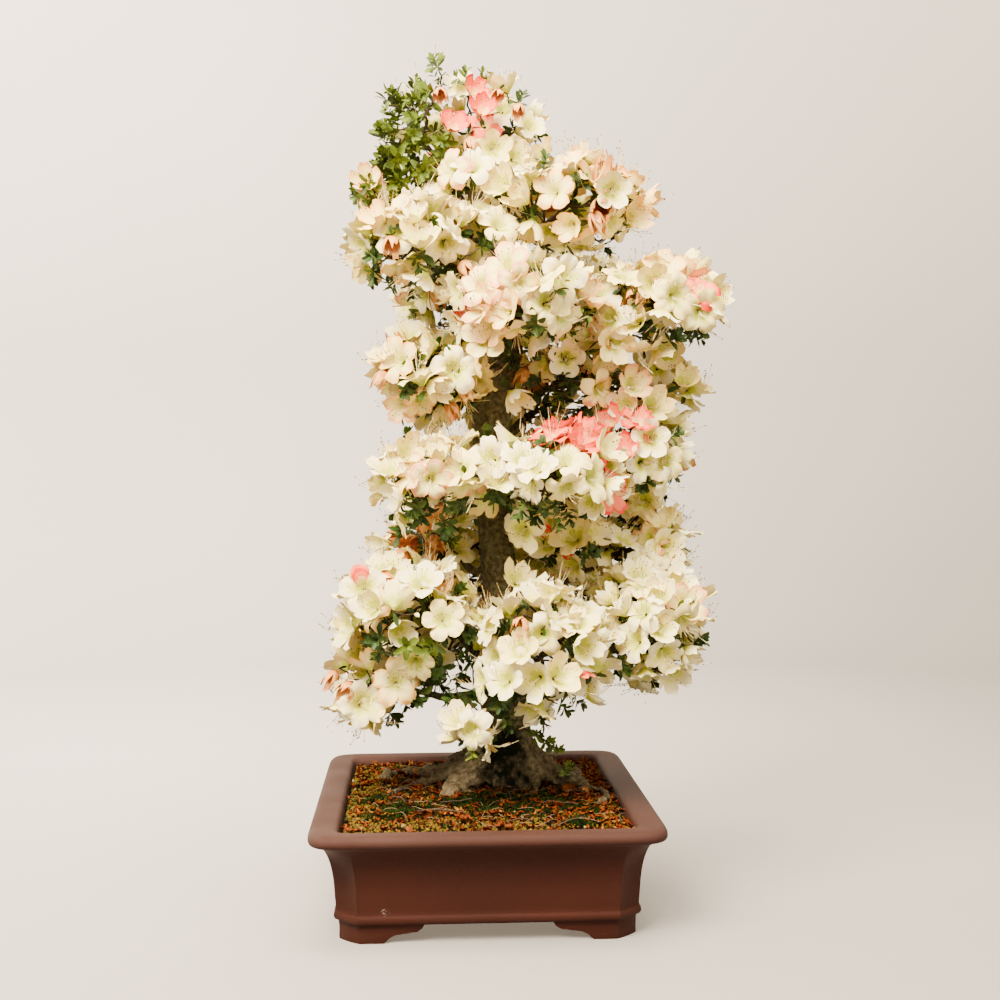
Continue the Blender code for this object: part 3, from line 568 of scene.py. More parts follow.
@lru_cache
def relief_group():
    """The height of a fine rough surface, coarse and fine together."""
    group, start, end = new_group(
        "Relief",
        (("Scale", "Float", 200.0), ("Stretch", "Vector", (1, 1, 1)), ("Grit", "Float", 0.5)),
        (("Height", "Float"),),
    )
    given = start.outputs
    inputs = {0: surface_place(group), 1: given["Stretch"]}
    drawn = new_node(group, "ShaderNodeVectorMath", inputs, operation="MULTIPLY").outputs[0]
    coarse = cloud(group, drawn, given["Scale"], 4.0)
    fine = cloud(group, drawn, maths(group, "MULTIPLY", given["Scale"], 5.0), 2.0)
    height = maths(group, "ADD", coarse, maths(group, "MULTIPLY", fine, given["Grit"]))
    group.links.new(height, end.inputs["Height"])
    return group


def grouped(tree, group, inputs):
    """A group's node with its inputs. Each colour is given as three numbers."""
    opaque = {name: (*value, 1.0) for name, value in inputs.items() if "Colour" in name}
    return new_node(tree, "ShaderNodeGroup", {**inputs, **opaque}, node_tree=group)


def mottled(tree, colour, second, scale, cover, softness):
    """Two colours mixed in soft spots."""
    inputs = {"Colour": colour, "Second Colour": second}
    inputs |= {"Scale": scale, "Cover": cover, "Softness": softness}
    return grouped(tree, mottle_group(), inputs).outputs["Colour"]


def spots(tree, scale, cover, softness):
    """A mask of soft spots."""
    inputs = {"Scale": scale, "Cover": cover, "Softness": softness}
    return grouped(tree, mottle_group(), inputs).outputs["Mask"]


def new_finish(
    name, colour, second, scale, cover=0.5, softness=0.2, roughness=0.6, bump=None, shine=0.5
):
    """A material of two mottled colours, with a bump of (scale, stretch, grit, depth) where given."""
    material = bpy.data.materials.new(name)
    material.use_nodes = True
    tree = material.node_tree
    shader = tree.nodes["Principled BSDF"]
    shader.inputs["Roughness"].default_value = roughness
    shader.inputs["Specular IOR Level"].default_value = shine
    tree.links.new(mottled(tree, colour, second, scale, cover, softness), shader.inputs["Base Color"])
    if bump:
        size, stretch, grit, depth = bump
        relief = grouped(tree, relief_group(), {"Scale": size, "Stretch": stretch, "Grit": grit})
        inputs = {"Height": relief.outputs["Height"], "Distance": depth}
        lift = new_node(tree, "ShaderNodeBump", inputs)
        tree.links.new(lift.outputs["Normal"], shader.inputs["Normal"])
    return material


def painted(material):
    """A finish's node tree, its shader and the socket that its colour comes from."""
    shader = material.node_tree.nodes["Principled BSDF"]
    return material.node_tree, shader, shader.inputs["Base Color"].links[0].from_socket


def tinted(colour, factor):
    return tuple(min(channel * factor, 1.0) for channel in colour)


def petal_finishes(settings):
    """The petals' materials by name, in the order of their slots."""
    colours = {
        "throat": ((0.50, 0.51, 0.05), (0.60, 0.59, 0.08)),
        "throat_pale": ((0.76, 0.69, 0.14), (0.82, 0.74, 0.19)),
        "petal_soft": ((0.89, 0.77, 0.26), (0.91, 0.78, 0.33)),
        "petal_white": (tuple(settings.white), tinted(settings.white, 0.96)),
        "petal_cream": ((0.92, 0.70, 0.22), (0.93, 0.75, 0.31)),
        "petal_shell": ((0.92, 0.61, 0.20), (0.92, 0.68, 0.26)),
        "petal_blush": ((0.91, 0.36, 0.15), (0.92, 0.48, 0.22)),
        "petal_coral": ((0.72, 0.026, 0.008), (0.78, 0.050, 0.018)),
        "petal_salmon": ((0.85, 0.12, 0.042), (0.89, 0.20, 0.08)),
        "petal_peach": ((0.92, 0.48, 0.10), (0.93, 0.57, 0.17)),
        "petal_straw": ((0.78, 0.42, 0.12), (0.66, 0.28, 0.07)),
        "petal_tan": ((0.52, 0.17, 0.035), (0.68, 0.31, 0.08)),
        "petal_rust": ((0.21, 0.040, 0.009), (0.36, 0.095, 0.022)),
    }
    return {
        name: new_finish(name, *pair, 90.0, cover=0.45, softness=0.25, bump=PETAL_BUMP, shine=0.25)
        for name, pair in colours.items()
    }


# The crown's growth


def skin(points):
    """How far outside the crown each point lies, which way is out, and the space that it belongs to.

    The crown is the ellipsoids of the masses and fillers, melted together where they meet.
    """
    offsets = points[:, None] - CENTRES
    share = np.maximum(np.linalg.norm(offsets / REACHES, axis=2), 1e-6)
    slope = offsets / REACHES**2
    steep = np.maximum(np.linalg.norm(slope, axis=2), 1e-6)
    apart = share * (share - 1) / steep
    nearest = apart.min(axis=1)
    weight = np.exp((nearest[:, None] - apart) / MELT)
    outside = nearest - MELT * np.log(weight.sum(axis=1))
    way = unit((weight[..., None] * slope / steep[..., None]).sum(axis=1))
    return outside, way, apart.argmin(axis=1)


def in_window(point):
    """Whether a point would hide the trunk where it shows between two masses."""
    x, y, _, _ = trunk_point(point[2])
    return any(
        window.low < point[2] < window.high and point[1] < y and abs(point[0] - x) < window.half_width
        for window in WINDOWS
    )


def smooth_line(ribs, steps):
    """Points on a smooth line through rows of x, y, z and radius."""
    ribs = np.asarray(ribs, float)
    ends = np.concatenate((ribs[:1], ribs, ribs[-1:]))
    found = []
    for a, b, c, d in zip(ends, ends[1:], ends[2:], ends[3:]):
        for t in np.arange(steps) / steps:
            bend = (2 * a - 5 * b + 4 * c - d) * t**2 + (3 * b - a - 3 * c + d) * t**3
            found.append(0.5 * (2 * b + (c - a) * t + bend))
    return np.array(found + [ribs[-1]])


def trunk_point(height):
    """The trunk's x, y, z and radius at a height."""
    ribs = np.array(TRUNK)
    return np.array([np.interp(height, ribs[:, 2], ribs[:, column]) for column in range(4)])


def bough_ribs(mass):
    """A bough's x, y, z and radius, from inside the trunk to where it enters its mass."""
    start = trunk_point(mass.fork)
    centre, reach = np.array(mass.centre), np.array(mass.reach)
    way = unit(start[:3] - centre)
    entry = centre + way * ENTRY_SHARE / np.linalg.norm(way / reach)
    thickness = min(mass.thickness, start[3] * 0.8)
    t = np.linspace(0, 1, BOUGH_STEPS + 1)[:, None]
    line = start[:3] + (entry - start[:3]) * t - UP * BOUGH_SAG * np.sin(math.pi * t)
    return np.hstack((line, thickness * (1 - BOUGH_TAPER * t)))


def root_ribs(root):
    """A surface root: it leaves the trunk at a slant, turns over and runs out along the soil."""
    t = np.linspace(0, 1, 13)
    angle = np.radians(root.angle + root.bend * t * t + 9 * np.sin(t * 7 + root.angle))
    outward = root.reach * (0.10 + 0.96 * t)
    height = GROUND + root.start * (1 - t) ** 2.6 - 0.10 * root.radius * t
    return np.stack(
        (
            TRUNK[0].x + outward * np.cos(angle),
            TRUNK[0].y + outward * np.sin(angle),
            height,
            root.radius * (1 - 0.58 * t) * (1 + 0.16 * np.sin(t * 19 + root.angle)),
        ),
        axis=1,
    )


@lru_cache
def limb_samples():
    """Points along the trunk and every bough, each with the limb's radius there."""
    lines = [smooth_line(TRUNK, 6)] + [bough_ribs(mass) for mass in MASSES]
    return np.concatenate(lines)


def off_limbs(points, berth):
    limbs = limb_samples()
    apart = np.linalg.norm(points[:, None] - limbs[:, :3], axis=2) - limbs[:, 3]
    return apart.min(axis=1) > berth


# One place in the crown where something grows: its mass, where it is, which way it faces, what it
# is, how large, and whether it stands in the crown's outer layer
Head = namedtuple("Head", "mass place way kind size outer")


def kind_at(place, rng, leafy):
    """What grows at a place, by the tints near it, its chance of leaves and its height."""
    for tint in TINTS:
        if np.linalg.norm(place - tint.place) < tint.distance and rng.random() < tint.share:
            return tint.kind
    if rng.random() < leafy:
        return "shoot"
    shares = next(shares for height, shares in MIXES if place[2] < height)
    return KINDS[rng.choice(len(KINDS), p=shares)]


def layer(depth, spacing, rng):
    """Places a depth under the crown's skin and at least a spacing apart, with the way out at each."""
    step = np.arange(SITES) + 0.5
    angle = step * GOLDEN_ANGLE
    height = 1 - 2 * step / SITES
    wide = np.sqrt(1 - height**2)
    ways = np.stack((wide * np.cos(angle), wide * np.sin(angle), height), axis=1)
    points = (CENTRES[:, None] + ways * REACHES[:, None]).reshape(-1, 3)
    points += rng.normal(0, SITE_SCATTER, points.shape)
    for _ in range(5):
        outside, out, _ = skin(points)
        points -= out * (outside + depth)[:, None]
    outside, out, space = skin(points)
    usable = (abs(outside + depth) < LAYER_MISS) & off_limbs(points, LIMB_BERTH)
    found = np.empty((0, 3))
    chosen = []
    for place in rng.permutation(np.flatnonzero(usable)):
        if not len(found) or np.linalg.norm(found - points[place], axis=1).min() > spacing:
            found = np.vstack((found, points[place]))
            chosen.append(place)
    return points[chosen], out[chosen], space[chosen]


@lru_cache
def grown_heads():
    """Every blossom, bud and leafy shoot of the crown, in an outer and an inner layer."""
    spacing = bpy.context.scene.azalea_blossom.spacing
    rng = np.random.default_rng(500)
    heads = []
    for place, out, space in zip(*layer(OUTER_DEPTH, spacing, rng)):
        under = ramp(-out[2], *UNDERSIDE)
        kind = kind_at(place, rng, LEAFY[space] + UNDERSIDE_LEAFY * under)
        if in_window(place):
            continue
        way = unit(out + UP * LIFT * (1 - under) + rng.normal(0, WOBBLE, 3))
        if kind == "withered":
            way = unit(way - UP * WITHERED_DROOP)
        place = place + out * rng.uniform(-0.010, 0.003)
        size = rng.uniform(0.84, 1.07) * (WITHERED_SIZE if kind == "withered" else 1)
        size = size * (1 - TOP_SHRINK * ramp(place[2], *TOP_BAND))
        heads.append(Head(OWNERS[space], place, way, kind, size, True))
        if kind == "shoot" and OWNERS[space] in YOUNG_MASSES:
            for _ in range(SIDE_SHOOTS):
                aside = unit(way + rng.normal(0, 0.45, 3))
                beside = place - out * 0.009 + rng.normal(0, 0.010, 3)
                heads.append(Head(OWNERS[space], beside, aside, kind, 1.0, True))
    for place, out, space in zip(*layer(INNER_DEPTH, spacing * 1.15, rng)):
        if in_window(place):
            continue
        kind = kind_at(place, rng, 0.5 + 0.35 * ramp(-out[2], 0.0, 0.6))
        way = unit(out + rng.normal(0, WOBBLE, 3))
        heads.append(Head(OWNERS[space], place, way, kind, rng.uniform(0.8, 1.0), False))
    for mass, place, way, kind, size in SINGLES:
        heads.append(Head(mass, np.array(place), unit(np.array(way)), kind, size, True))
    return heads


def stalk_base(head):
    """Where a head's own twig ends: the bottom of a blossom's funnel, or a shoot's middle."""
    depth = bpy.context.scene.azalea_blossom.depth
    return head.place - head.way * (depth * 1.05 * head.size if head.kind != "shoot" else 0.012)


# The pieces: trunk, boughs and roots

# The dark hollow at the front of the trunk's foot, as two balls: the centre, size and depth of each.
# The bark there is painted dark with moss and painted shade.
Hollow = namedtuple("Hollow", "centre size depth")
HOLLOWS = (Hollow((0.032, -0.015, 0.134), 0.029, 0.013), Hollow((0.030, -0.004, 0.172), 0.024, 0.006))
# Dark moss with painted shade: the colour painted into the hollows
MOSS_AND_PAINTED_SHADE = (0.0080, 0.0095, 0.0028)
BARK_SHADE = (0.42, 0.37, 0.30)
ROOT_COLOUR = (0.250, 0.185, 0.105)
# The heights between which the bark takes on the roots' colour
ROOT_BAND = (0.185, 0.150)


def relief_of(point, height_above):
    """How far the bark stands out at a point: long ridges, lumps near the ground, and fine grain."""
    drawn = Vector((point.x * 62, point.y * 62, point.z * 13))
    ridges = noise.fractal(drawn, 0.9, 2.1, 3)
    lumps = noise.fractal(point * 42, 1.0, 2.0, 3) * (0.6 + 2.6 * math.exp(-height_above / 0.040))
    grain = noise.fractal(point * 170, 0.7, 2.2, 2)
    return ridges + 0.6 * lumps + 0.35 * grain


def bark_material(settings):
    """Bark with lichen, paler on the roots, mottled dark, and dark with moss and painted shade in the
    hollows.
    """
    material = new_finish(
        "bark", tuple(settings.bark), tuple(settings.lichen), 60.0, softness=0.22, roughness=0.92,
        bump=(210.0, (1, 1, 0.5), 0.9, 0.0065), shine=0.08,
    )
    tree, shader, bark_colour = painted(material)
    place = surface_place(tree)
    low = ranged(tree, place_parts(tree, place)["Z"], *ROOT_BAND, most=0.75)
    bark_colour = mix_colours(tree, low, bark_colour, (*ROOT_COLOUR, 1.0))
    shade = mottled(tree, (1, 1, 1), BARK_SHADE, 190.0, 0.50, 0.20)
    bark_colour = mix_colours(tree, 1.0, bark_colour, shade, "MULTIPLY")
    ragged = cloud(tree, place, 90.0, 4.0)
    # Painted shade with moss: each hollow is painted near black, with a ragged edge
    for hollow in HOLLOWS:
        apart = distance_to(tree, place, hollow.centre)
        edge = maths(tree, "MULTIPLY_ADD", ragged, hollow.size * 1.4, apart)
        deep = ranged(tree, edge, hollow.size * 2.15, hollow.size * 1.65)
        bark_colour = mix_colours(tree, deep, bark_colour, (*MOSS_AND_PAINTED_SHADE, 1.0))
    tree.links.new(bark_colour, shader.inputs["Base Color"])
    return material


class AZALEA_OT_limbs(bpy.types.Operator):
    """Model the trunk, its surface roots and the boughs with the bark's relief"""

    bl_idname = "azalea.limbs"
    bl_label = "Trunk, Roots and Boughs"

    def execute(self, context):
        settings = context.scene.azalea_tree
        lines = [(smooth_line(TRUNK, 6), 24)]
        lines += [(root_ribs(root), 14) for root in ROOTS]
        lines += [(bough_ribs(mass), 12) for mass in MASSES]
        shape = joined([tubes(line[None, :, :3], line[None, :, 3], sides) for line, sides in lines])
        replaced = [name for name in frame["nodes"] if name == "trunk" or name.startswith("bough_")]
        rough = new_piece("limbs_rough", shape, ())
        remesh = rough.modifiers.new("skin", "REMESH")
        remesh.mode = "VOXEL"
        remesh.voxel_size = settings.grain
        remesh.use_smooth_shade = True
        smooth = rough.modifiers.new("smooth", "SMOOTH")
        smooth.iterations = 3
        mesh = bpy.data.meshes.new_from_object(rough.evaluated_get(context.evaluated_depsgraph_get()))
        bpy.data.objects.remove(rough)
        mesh.name = "trunk_and_boughs"
        hollows = [(Vector(CENTRE + hollow.centre), hollow.size, hollow.depth) for hollow in HOLLOWS]
        normals = [normal.vector.copy() for normal in mesh.vertex_normals]
        for vertex, normal in zip(mesh.vertices, normals):
            height = ramp(vertex.co.z, GROUND, 0.30)
            depth = settings.relief * (1.25 - 0.55 * height)
            inward = sum(
                deep * math.exp(-(((vertex.co - middle).length / size) ** 2))
                for middle, size, deep in hollows
            )
            vertex.co += normal * (relief_of(vertex.co, vertex.co.z - GROUND) * depth - inward)
        mesh.materials.clear()
        mesh.materials.append(bark_material(settings))
        piece = bpy.data.objects.new("trunk_and_boughs", mesh)
        context.scene.collection.objects.link(piece)
        settle(piece, replaced)
        return {"FINISHED"}


# The pieces: twigs, leaves and blossom

# A leafy sprout from the trunk's foot: where it starts, and the tips of its shoots
Sprout = namedtuple("Sprout", "start tips")
SPROUTS = (
    Sprout(
        (0.052, 0.004, 0.200), ((0.066, -0.045, 0.200), (0.080, -0.052, 0.192), (0.090, -0.056, 0.184))
    ),
    Sprout((0.090, 0.020, 0.128), ((0.104, -0.012, 0.150), (0.112, 0.004, 0.146))),
)
SPROUT_RADIUS = 0.0009
# A twig's points, its radius at the tip, and how much thicker it is for each head that it carries
TWIG_STEPS = 6
TWIG_TIP = 0.00075
TWIG_GROWTH = 0.00042
TWIG_SWAY = 0.0016


def sprout_heads():
    """The shoots of the sprouts, each looking out and up."""
    heads = []
    for sprout in SPROUTS:
        for tip in sprout.tips:
            way = unit(np.array(tip) - sprout.start + UP * 0.03)
            heads.append(Head(CROWN_LEFT, np.array(tip), way, "shoot", 0.7, True))
    return heads


def twig_lines(index, heads):
    """The twigs of one mass as lines with radii: each head joins the nearest twig grown so far."""
    entry = bough_ribs(MASSES[index])[-1, :3]
    centre = CENTRES[index]
    rng = random.Random(900 + index)
    nodes = [(entry, 0.0, -1), (entry * 0.5 + centre * 0.5, 0.02, -1), (centre, 0.04, -1)]
    found = []
    ends = [(stalk_base(head), head.way) for head in heads]
    ends.sort(key=lambda end: np.linalg.norm(end[0] - centre))
    t = np.linspace(0, 1, TWIG_STEPS)[:, None]
    held = np.sin(np.linspace(0, math.pi, TWIG_STEPS))[:, None]
    for base, way in ends:
        place, length, parent = min(
            nodes, key=lambda node: np.linalg.norm(base - node[0]) + 0.45 * node[1]
        )
        span = np.linalg.norm(base - place)
        start_pull = unit(place - centre + 1e-6) * span * 0.6
        end_pull = way * span * 0.7
        line = (
            place * (2 * t**3 - 3 * t**2 + 1)
            + start_pull * (t**3 - 2 * t**2 + t)
            + base * (3 * t**2 - 2 * t**3)
            + end_pull * (t**3 - t**2)
        )
        sway = np.array([[rng.uniform(-1, 1) for _ in range(3)] for _ in range(TWIG_STEPS)])
        line += sway * TWIG_SWAY * held
        found.append((line, parent))
        newest = len(found) - 1
        nodes += [(line[2], length + span * 0.4, newest), (line[4], length + span * 0.8, newest)]
    carried = [1] * len(found)
    for place in range(len(found) - 1, -1, -1):
        parent = found[place][1]
        if parent >= 0:
            carried[parent] += carried[place]
    taper = np.linspace(1, 0, TWIG_STEPS)
    lines = [line for line, _ in found]
    radii = [TWIG_TIP + TWIG_GROWTH * math.sqrt(load) * (0.35 + 0.65 * taper) for load in carried]
    return lines, radii


class AZALEA_OT_twigs(bpy.types.Operator):
    """Grow the twigs that carry the blossom and the leaves"""

    bl_idname = "azalea.twigs"
    bl_label = "Twigs"

    def execute(self, context):
        lines, radii, stems, stem_radii = [], [], [], []
        for index, mass in enumerate(MASSES):
            heads = [head for head in grown_heads() if head.mass == index]
            more_lines, more_radii = twig_lines(index, heads)
            lines += more_lines
            radii += more_radii
            entry = bough_ribs(mass)[-1]
            stems.append(np.linspace(entry[:3], CENTRES[index], TWIG_STEPS))
            stem_radii.append(np.linspace(entry[3], entry[3] * 0.6, TWIG_STEPS))
        for sprout in SPROUTS:
            lines += [np.linspace(sprout.start, tip, TWIG_STEPS) for tip in sprout.tips]
            radii += [np.full(TWIG_STEPS, SPROUT_RADIUS)] * len(sprout.tips)
        shape = joined([tubes(lines, radii, 4), tubes(stems, stem_radii, 8)])
        bark = new_finish(
            "twig_bark", (0.045, 0.028, 0.014), (0.080, 0.055, 0.030), 120.0, roughness=0.85,
            bump=(500.0, (1, 1, 1), 0.5, 0.0008), shine=0.1,
        )
        new_piece("twigs", shape, (bark,))
        return {"FINISHED"}


def leaf_shape(fold, droop):
    """A blunt leaf of unit length along +Y, folded up from its midrib, with its tip drooping."""
    t = np.array((0.0, 0.25, 0.60, 0.90, 1.0))
    half = np.array((0.016, 0.140, 0.225, 0.135, 0.0))
    rows = []
    for u in (-1, 0, 1):
        rows.append(np.stack((u * half, t, abs(u) * half * fold - droop * t**2), axis=1))
    points = np.stack(rows, axis=1).reshape(-1, 3)
    return Shape(points, sheet_faces(5, 3))


def leaf_places(heads, length, rng):
    """Where each leaf starts, its turn, its length and its finish, as arrays.

    A shoot has three whorls, each steeper than the last, or two inside the crown. A blossom has a
    few leaves behind it, spread outwards so that none comes up through its funnel.
    """
    starts, turns, sizes, finishes = [], [], [], []
    for head in heads:
        shoot = head.kind == "shoot"
        base = stalk_base(head)
        young = head.mass in YOUNG_MASSES or head.place[2] > YOUNG_HEIGHT
        young = young or rng.random() < YOUNG_SHARE
        for ring in range((3 if head.outer else 2) if shoot else 1):
            count = rng.integers(4, 7) if shoot else rng.integers(1, 4)
            first = rng.uniform(0, math.tau)
            side = unit(np.cross(head.way, rng.normal(size=3)))
            over = np.cross(head.way, side)
            for step in range(count):
                angle = first + step * math.tau / count + rng.normal(0, 0.25)
                outward = side * math.cos(angle) + over * math.sin(angle)
                rise = rng.uniform(-0.1, 0.8) + 0.5 * ring if shoot else rng.uniform(-0.9, -0.1)
                way = unit(outward + head.way * rise)
                face = unit(head.way - way * (head.way @ way) + rng.normal(0, 0.16, 3))
                across = unit(np.cross(way, face))
                starts.append(base + head.way * (0.003 + 0.006 * ring if shoot else -0.002))
                turns.append(np.stack((across, way, np.cross(across, way)), -1))
                sizes.append(length * head.size * rng.uniform(0.55, 1.0) * (1 - 0.14 * ring))
                chance = rng.random()
                finishes.append(1 + int(chance < 0.7) if young else int(chance < 0.22))
    return np.array(starts), np.array(turns), np.array(sizes), np.array(finishes)


class AZALEA_OT_leaves(bpy.types.Operator):
    """Put whorls of leaves on the shoots and beneath the blossoms"""

    bl_idname = "azalea.leaves"
    bl_label = "Leaves"

    def execute(self, context):
        settings = context.scene.azalea_leaf
        rng = np.random.default_rng(77)
        heads = grown_heads() + sprout_heads()
        starts, turns, sizes, finishes = leaf_places(heads, settings.length, rng)
        green, fresh = tuple(settings.green), tuple(settings.fresh)
        middle = tuple((a + b) / 2 for a, b in zip(green, fresh))
        bump = (300.0, (1, 1, 1), 0.4, 0.0006)
        materials = [
            new_finish(name, first, second, 70.0, roughness=rough, bump=bump, shine=shine)
            for name, first, second, rough, shine in (
                ("leaf_dark", green, tinted(green, 1.6), 0.42, 0.2),
                ("leaf_middle", middle, tinted(middle, 0.6), 0.5, 0.2),
                ("leaf_fresh", fresh, tinted(fresh, 1.35), 0.5, 0.15),
            )
        ]
        forms = [leaf_shape(0.35, 0.10), leaf_shape(0.5, 0.22), leaf_shape(0.2, 0.02)]
        pick = rng.integers(0, len(forms), len(starts))
        shape = mingled(forms, pick, scaled(turns, sizes), starts, finishes)
        new_piece("leaves", shape, materials)
        return {"FINISHED"}


# How a blossom is shaped: how far its lobes bend back, cup up, fold down at the sides and wave, how
# far they overlap, and how far the funnel closes
Form = namedtuple("Form", "recurve cup fold wave lap closed")
OPEN_FORMS = (
    Form(0.0040, 0.0010, 0.0022, 0.0030, 0.0010, 0.00),
    Form(0.0090, 0.0000, 0.0036, 0.0038, 0.0012, 0.00),
    Form(0.0015, 0.0050, 0.0014, 0.0034, 0.0012, 0.07),
    Form(0.0060, 0.0030, 0.0026, 0.0046, 0.0009, 0.03),
    Form(0.0000, 0.0100, 0.0018, 0.0036, 0.0012, 0.18),
    Form(0.0130, 0.0010, 0.0030, 0.0038, 0.0013, 0.00),
    Form(0.0010, 0.0140, 0.0024, 0.0042, 0.0012, 0.32),
)
WITHERED_FORMS = (
    Form(0.0000, 0.0280, 0.0060, 0.0070, 0.0010, 0.60),
    Form(0.0000, 0.0200, 0.0080, 0.0100, 0.0018, 0.45),
)
# A lobe's round end, as shares of the blossom's half width: its centre's distance and its radius
LOBE_CENTRE = 0.605
LOBE_ROUND = 0.395
LOBE_TIP_NOTCH = 0.03
# How far a lobe reaches over its own share of the circle, and how far its height varies by chance
LOBE_SPREAD = 1.10
LOBE_PITCH = 0.0022
THROAT_SHARE = 0.07
LOBE_ROWS = 7
LOBE_COLUMNS = 9
BANDS = 6


def lobe_shape(form, middle, settings, rng, rows, columns):
    """One lobe of a blossom that faces +Z, round the middle angle, with its bands as slots."""
    full = settings.width / 2 * rng.uniform(0.95, 1.04)
    s = np.linspace(0, 1, rows)[:, None]
    u = np.linspace(-1, 1, columns)[None]
    aside = u * LOBE_SPREAD * math.pi / settings.lobes
    end = LOBE_CENTRE * np.cos(aside) + np.sqrt(LOBE_ROUND**2 - (LOBE_CENTRE * np.sin(aside)) ** 2)
    phase, tip_phase = rng.uniform(0, math.tau, 2)
    notch = LOBE_TIP_NOTCH * np.exp(-((aside / 0.12) ** 2))
    end = end * (1 - notch + 0.02 * np.sin(7 * u + tip_phase))
    out = THROAT_SHARE + (end - THROAT_SHARE) * s
    free = np.clip((out - 0.40) / 0.60, 0, 1)
    height = -settings.depth * (1 - np.clip(out, 0, 1)) ** 2.1
    height = height + form.cup * free**1.3 * rng.uniform(0.7, 1.3)
    height = height - form.recurve * free**2.2 * rng.uniform(0.5, 1.5)
    height = height - form.fold * free * u**2 + form.lap * u * s
    height = height + form.wave * free**1.2 * np.abs(u) * np.sin(5.0 * u + 4.0 * s + phase)
    height = height + 0.7 * form.wave * free**2 * np.sin(9.0 * u + tip_phase)
    height = height - 0.0011 * np.exp(-((u * 4) ** 2)) * np.sin(math.pi * free)
    height = height + rng.normal(0, LOBE_PITCH) * free
    radius = full * out * (1 - form.closed * free)
    angle = middle + aside
    points = np.stack((radius * np.cos(angle), radius * np.sin(angle), height + 0 * aside), axis=-1)
    faces = sheet_faces(rows, columns)
    row = faces.min(axis=1) // columns
    return Shape(points.reshape(-1, 3), faces, row * BANDS // (rows - 1))


def corolla_shape(form, settings, rng, rows=LOBE_ROWS, columns=LOBE_COLUMNS):
    """All the lobes of a blossom. The upper one has slots of its own, for its blotch or its tint."""
    lobes = []
    for index in range(settings.lobes):
        middle = math.pi / 2 + index * math.tau / settings.lobes + rng.normal(0, 0.03)
        lobe = lobe_shape(form, middle, settings, rng, rows, columns)
        if index == 0:
            lobe.slots = lobe.slots + BANDS
        lobes.append(lobe)
    return joined(lobes)


def stamens_shape(settings, rng, count=5):
    """The stamens and longer style of a blossom: filaments in slot 0, anthers in 1, stigma in 2."""
    t = np.linspace(0, 1, 4)
    lines, radii, tips = [], [], []
    for index in range(count + 1):
        style = index == count
        fan = 0.0 if style else (index / (count - 1) - 0.5) * 2
        reach = settings.depth * (1.45 if style else rng.uniform(0.55, 1.05))
        x = fan * 0.0125 * t**1.4 + rng.normal(0, 0.0010) * t
        y = -0.0070 * np.sin(math.pi * t * 0.8) + (0.0130 if style else 0.0070) * t**2.5
        z = -settings.depth * 0.82 + (settings.depth * 0.82 + reach) * t
        lines.append(np.stack((x, y, z), axis=1))
        radii.append(np.full(4, 0.00034 if style else 0.00026))
        tips.append(lines[-1][-1])
    threads = tubes(lines, radii, 3)
    turns = np.tile(np.diag((0.00095, 0.00095, 0.0014)), (len(tips), 1, 1))
    slots = np.array([1] * count + [2])[:, None]
    return joined([threads, copies(octahedron(), turns, np.array(tips), slots)])


def bare_style(rng):
    """The long curved style that is left where a blossom has dropped, with its stigma."""
    t = np.linspace(0, 1, 7)
    bend = rng.uniform(0.006, 0.016) * t**2
    line = np.stack((bend * 0.4, bend, rng.uniform(0.036, 0.052) * t - 0.018), axis=1)
    thread = tubes([line], [np.full(7, 0.00040)], 3)
    stigma = copies(octahedron(), np.diag((0.0007, 0.0007, 0.0009))[None], line[-1:], [(2,)])
    return joined([thread, stigma])


def octahedron():
    points = [(1, 0, 0), (0, 1, 0), (-1, 0, 0), (0, -1, 0), (0, 0, 1), (0, 0, -1)]
    faces = [(i, (i + 1) % 4, 4) for i in range(4)] + [((i + 1) % 4, i, 5) for i in range(4)]
    return Shape(points, faces)


def bud_shape(depth):
    """A closed pointed bud along +Z from its stalk, slightly twisted."""
    t = np.linspace(0, 1, 7)
    radius = 0.0042 * np.sin(math.pi * np.clip(t, 0.02, 0.985)) ** 0.75 * (1 - 0.35 * t)
    angle = np.arange(6) / 6 * math.tau
    twist = angle[None] + t[:, None] * 1.2
    ribbed = radius[:, None] * (1 + 0.12 * np.cos(3 * angle))[None]
    height = -depth + t[:, None] * 0.024 + 0 * angle[None]
    points = np.stack((ribbed * np.cos(twist), ribbed * np.sin(twist), height), axis=-1)
    faces = sheet_faces(7, 6, closed=True)
    return Shape(points.reshape(-1, 3), faces, np.where(faces.min(axis=1) // 6 < 2, 0, 1))


def blossom_finishes(kind, order):
    """The material number of each of a blossom's slots: its bands, and those of its upper lobe."""
    bands = [order.index(name) for name in PALETTES[kind]]
    upper = list(bands)
    if kind in ("white", "cream", "blush"):
        upper[1:3] = [order.index("throat"), order.index("throat_pale")]
    if kind == "sector":
        upper[2:] = [order.index(name) for name in SECTOR_BANDS]
    return bands + upper


def tier_of(place):
    return next(name for name, low, high in TIERS if low <= place[2] < high)


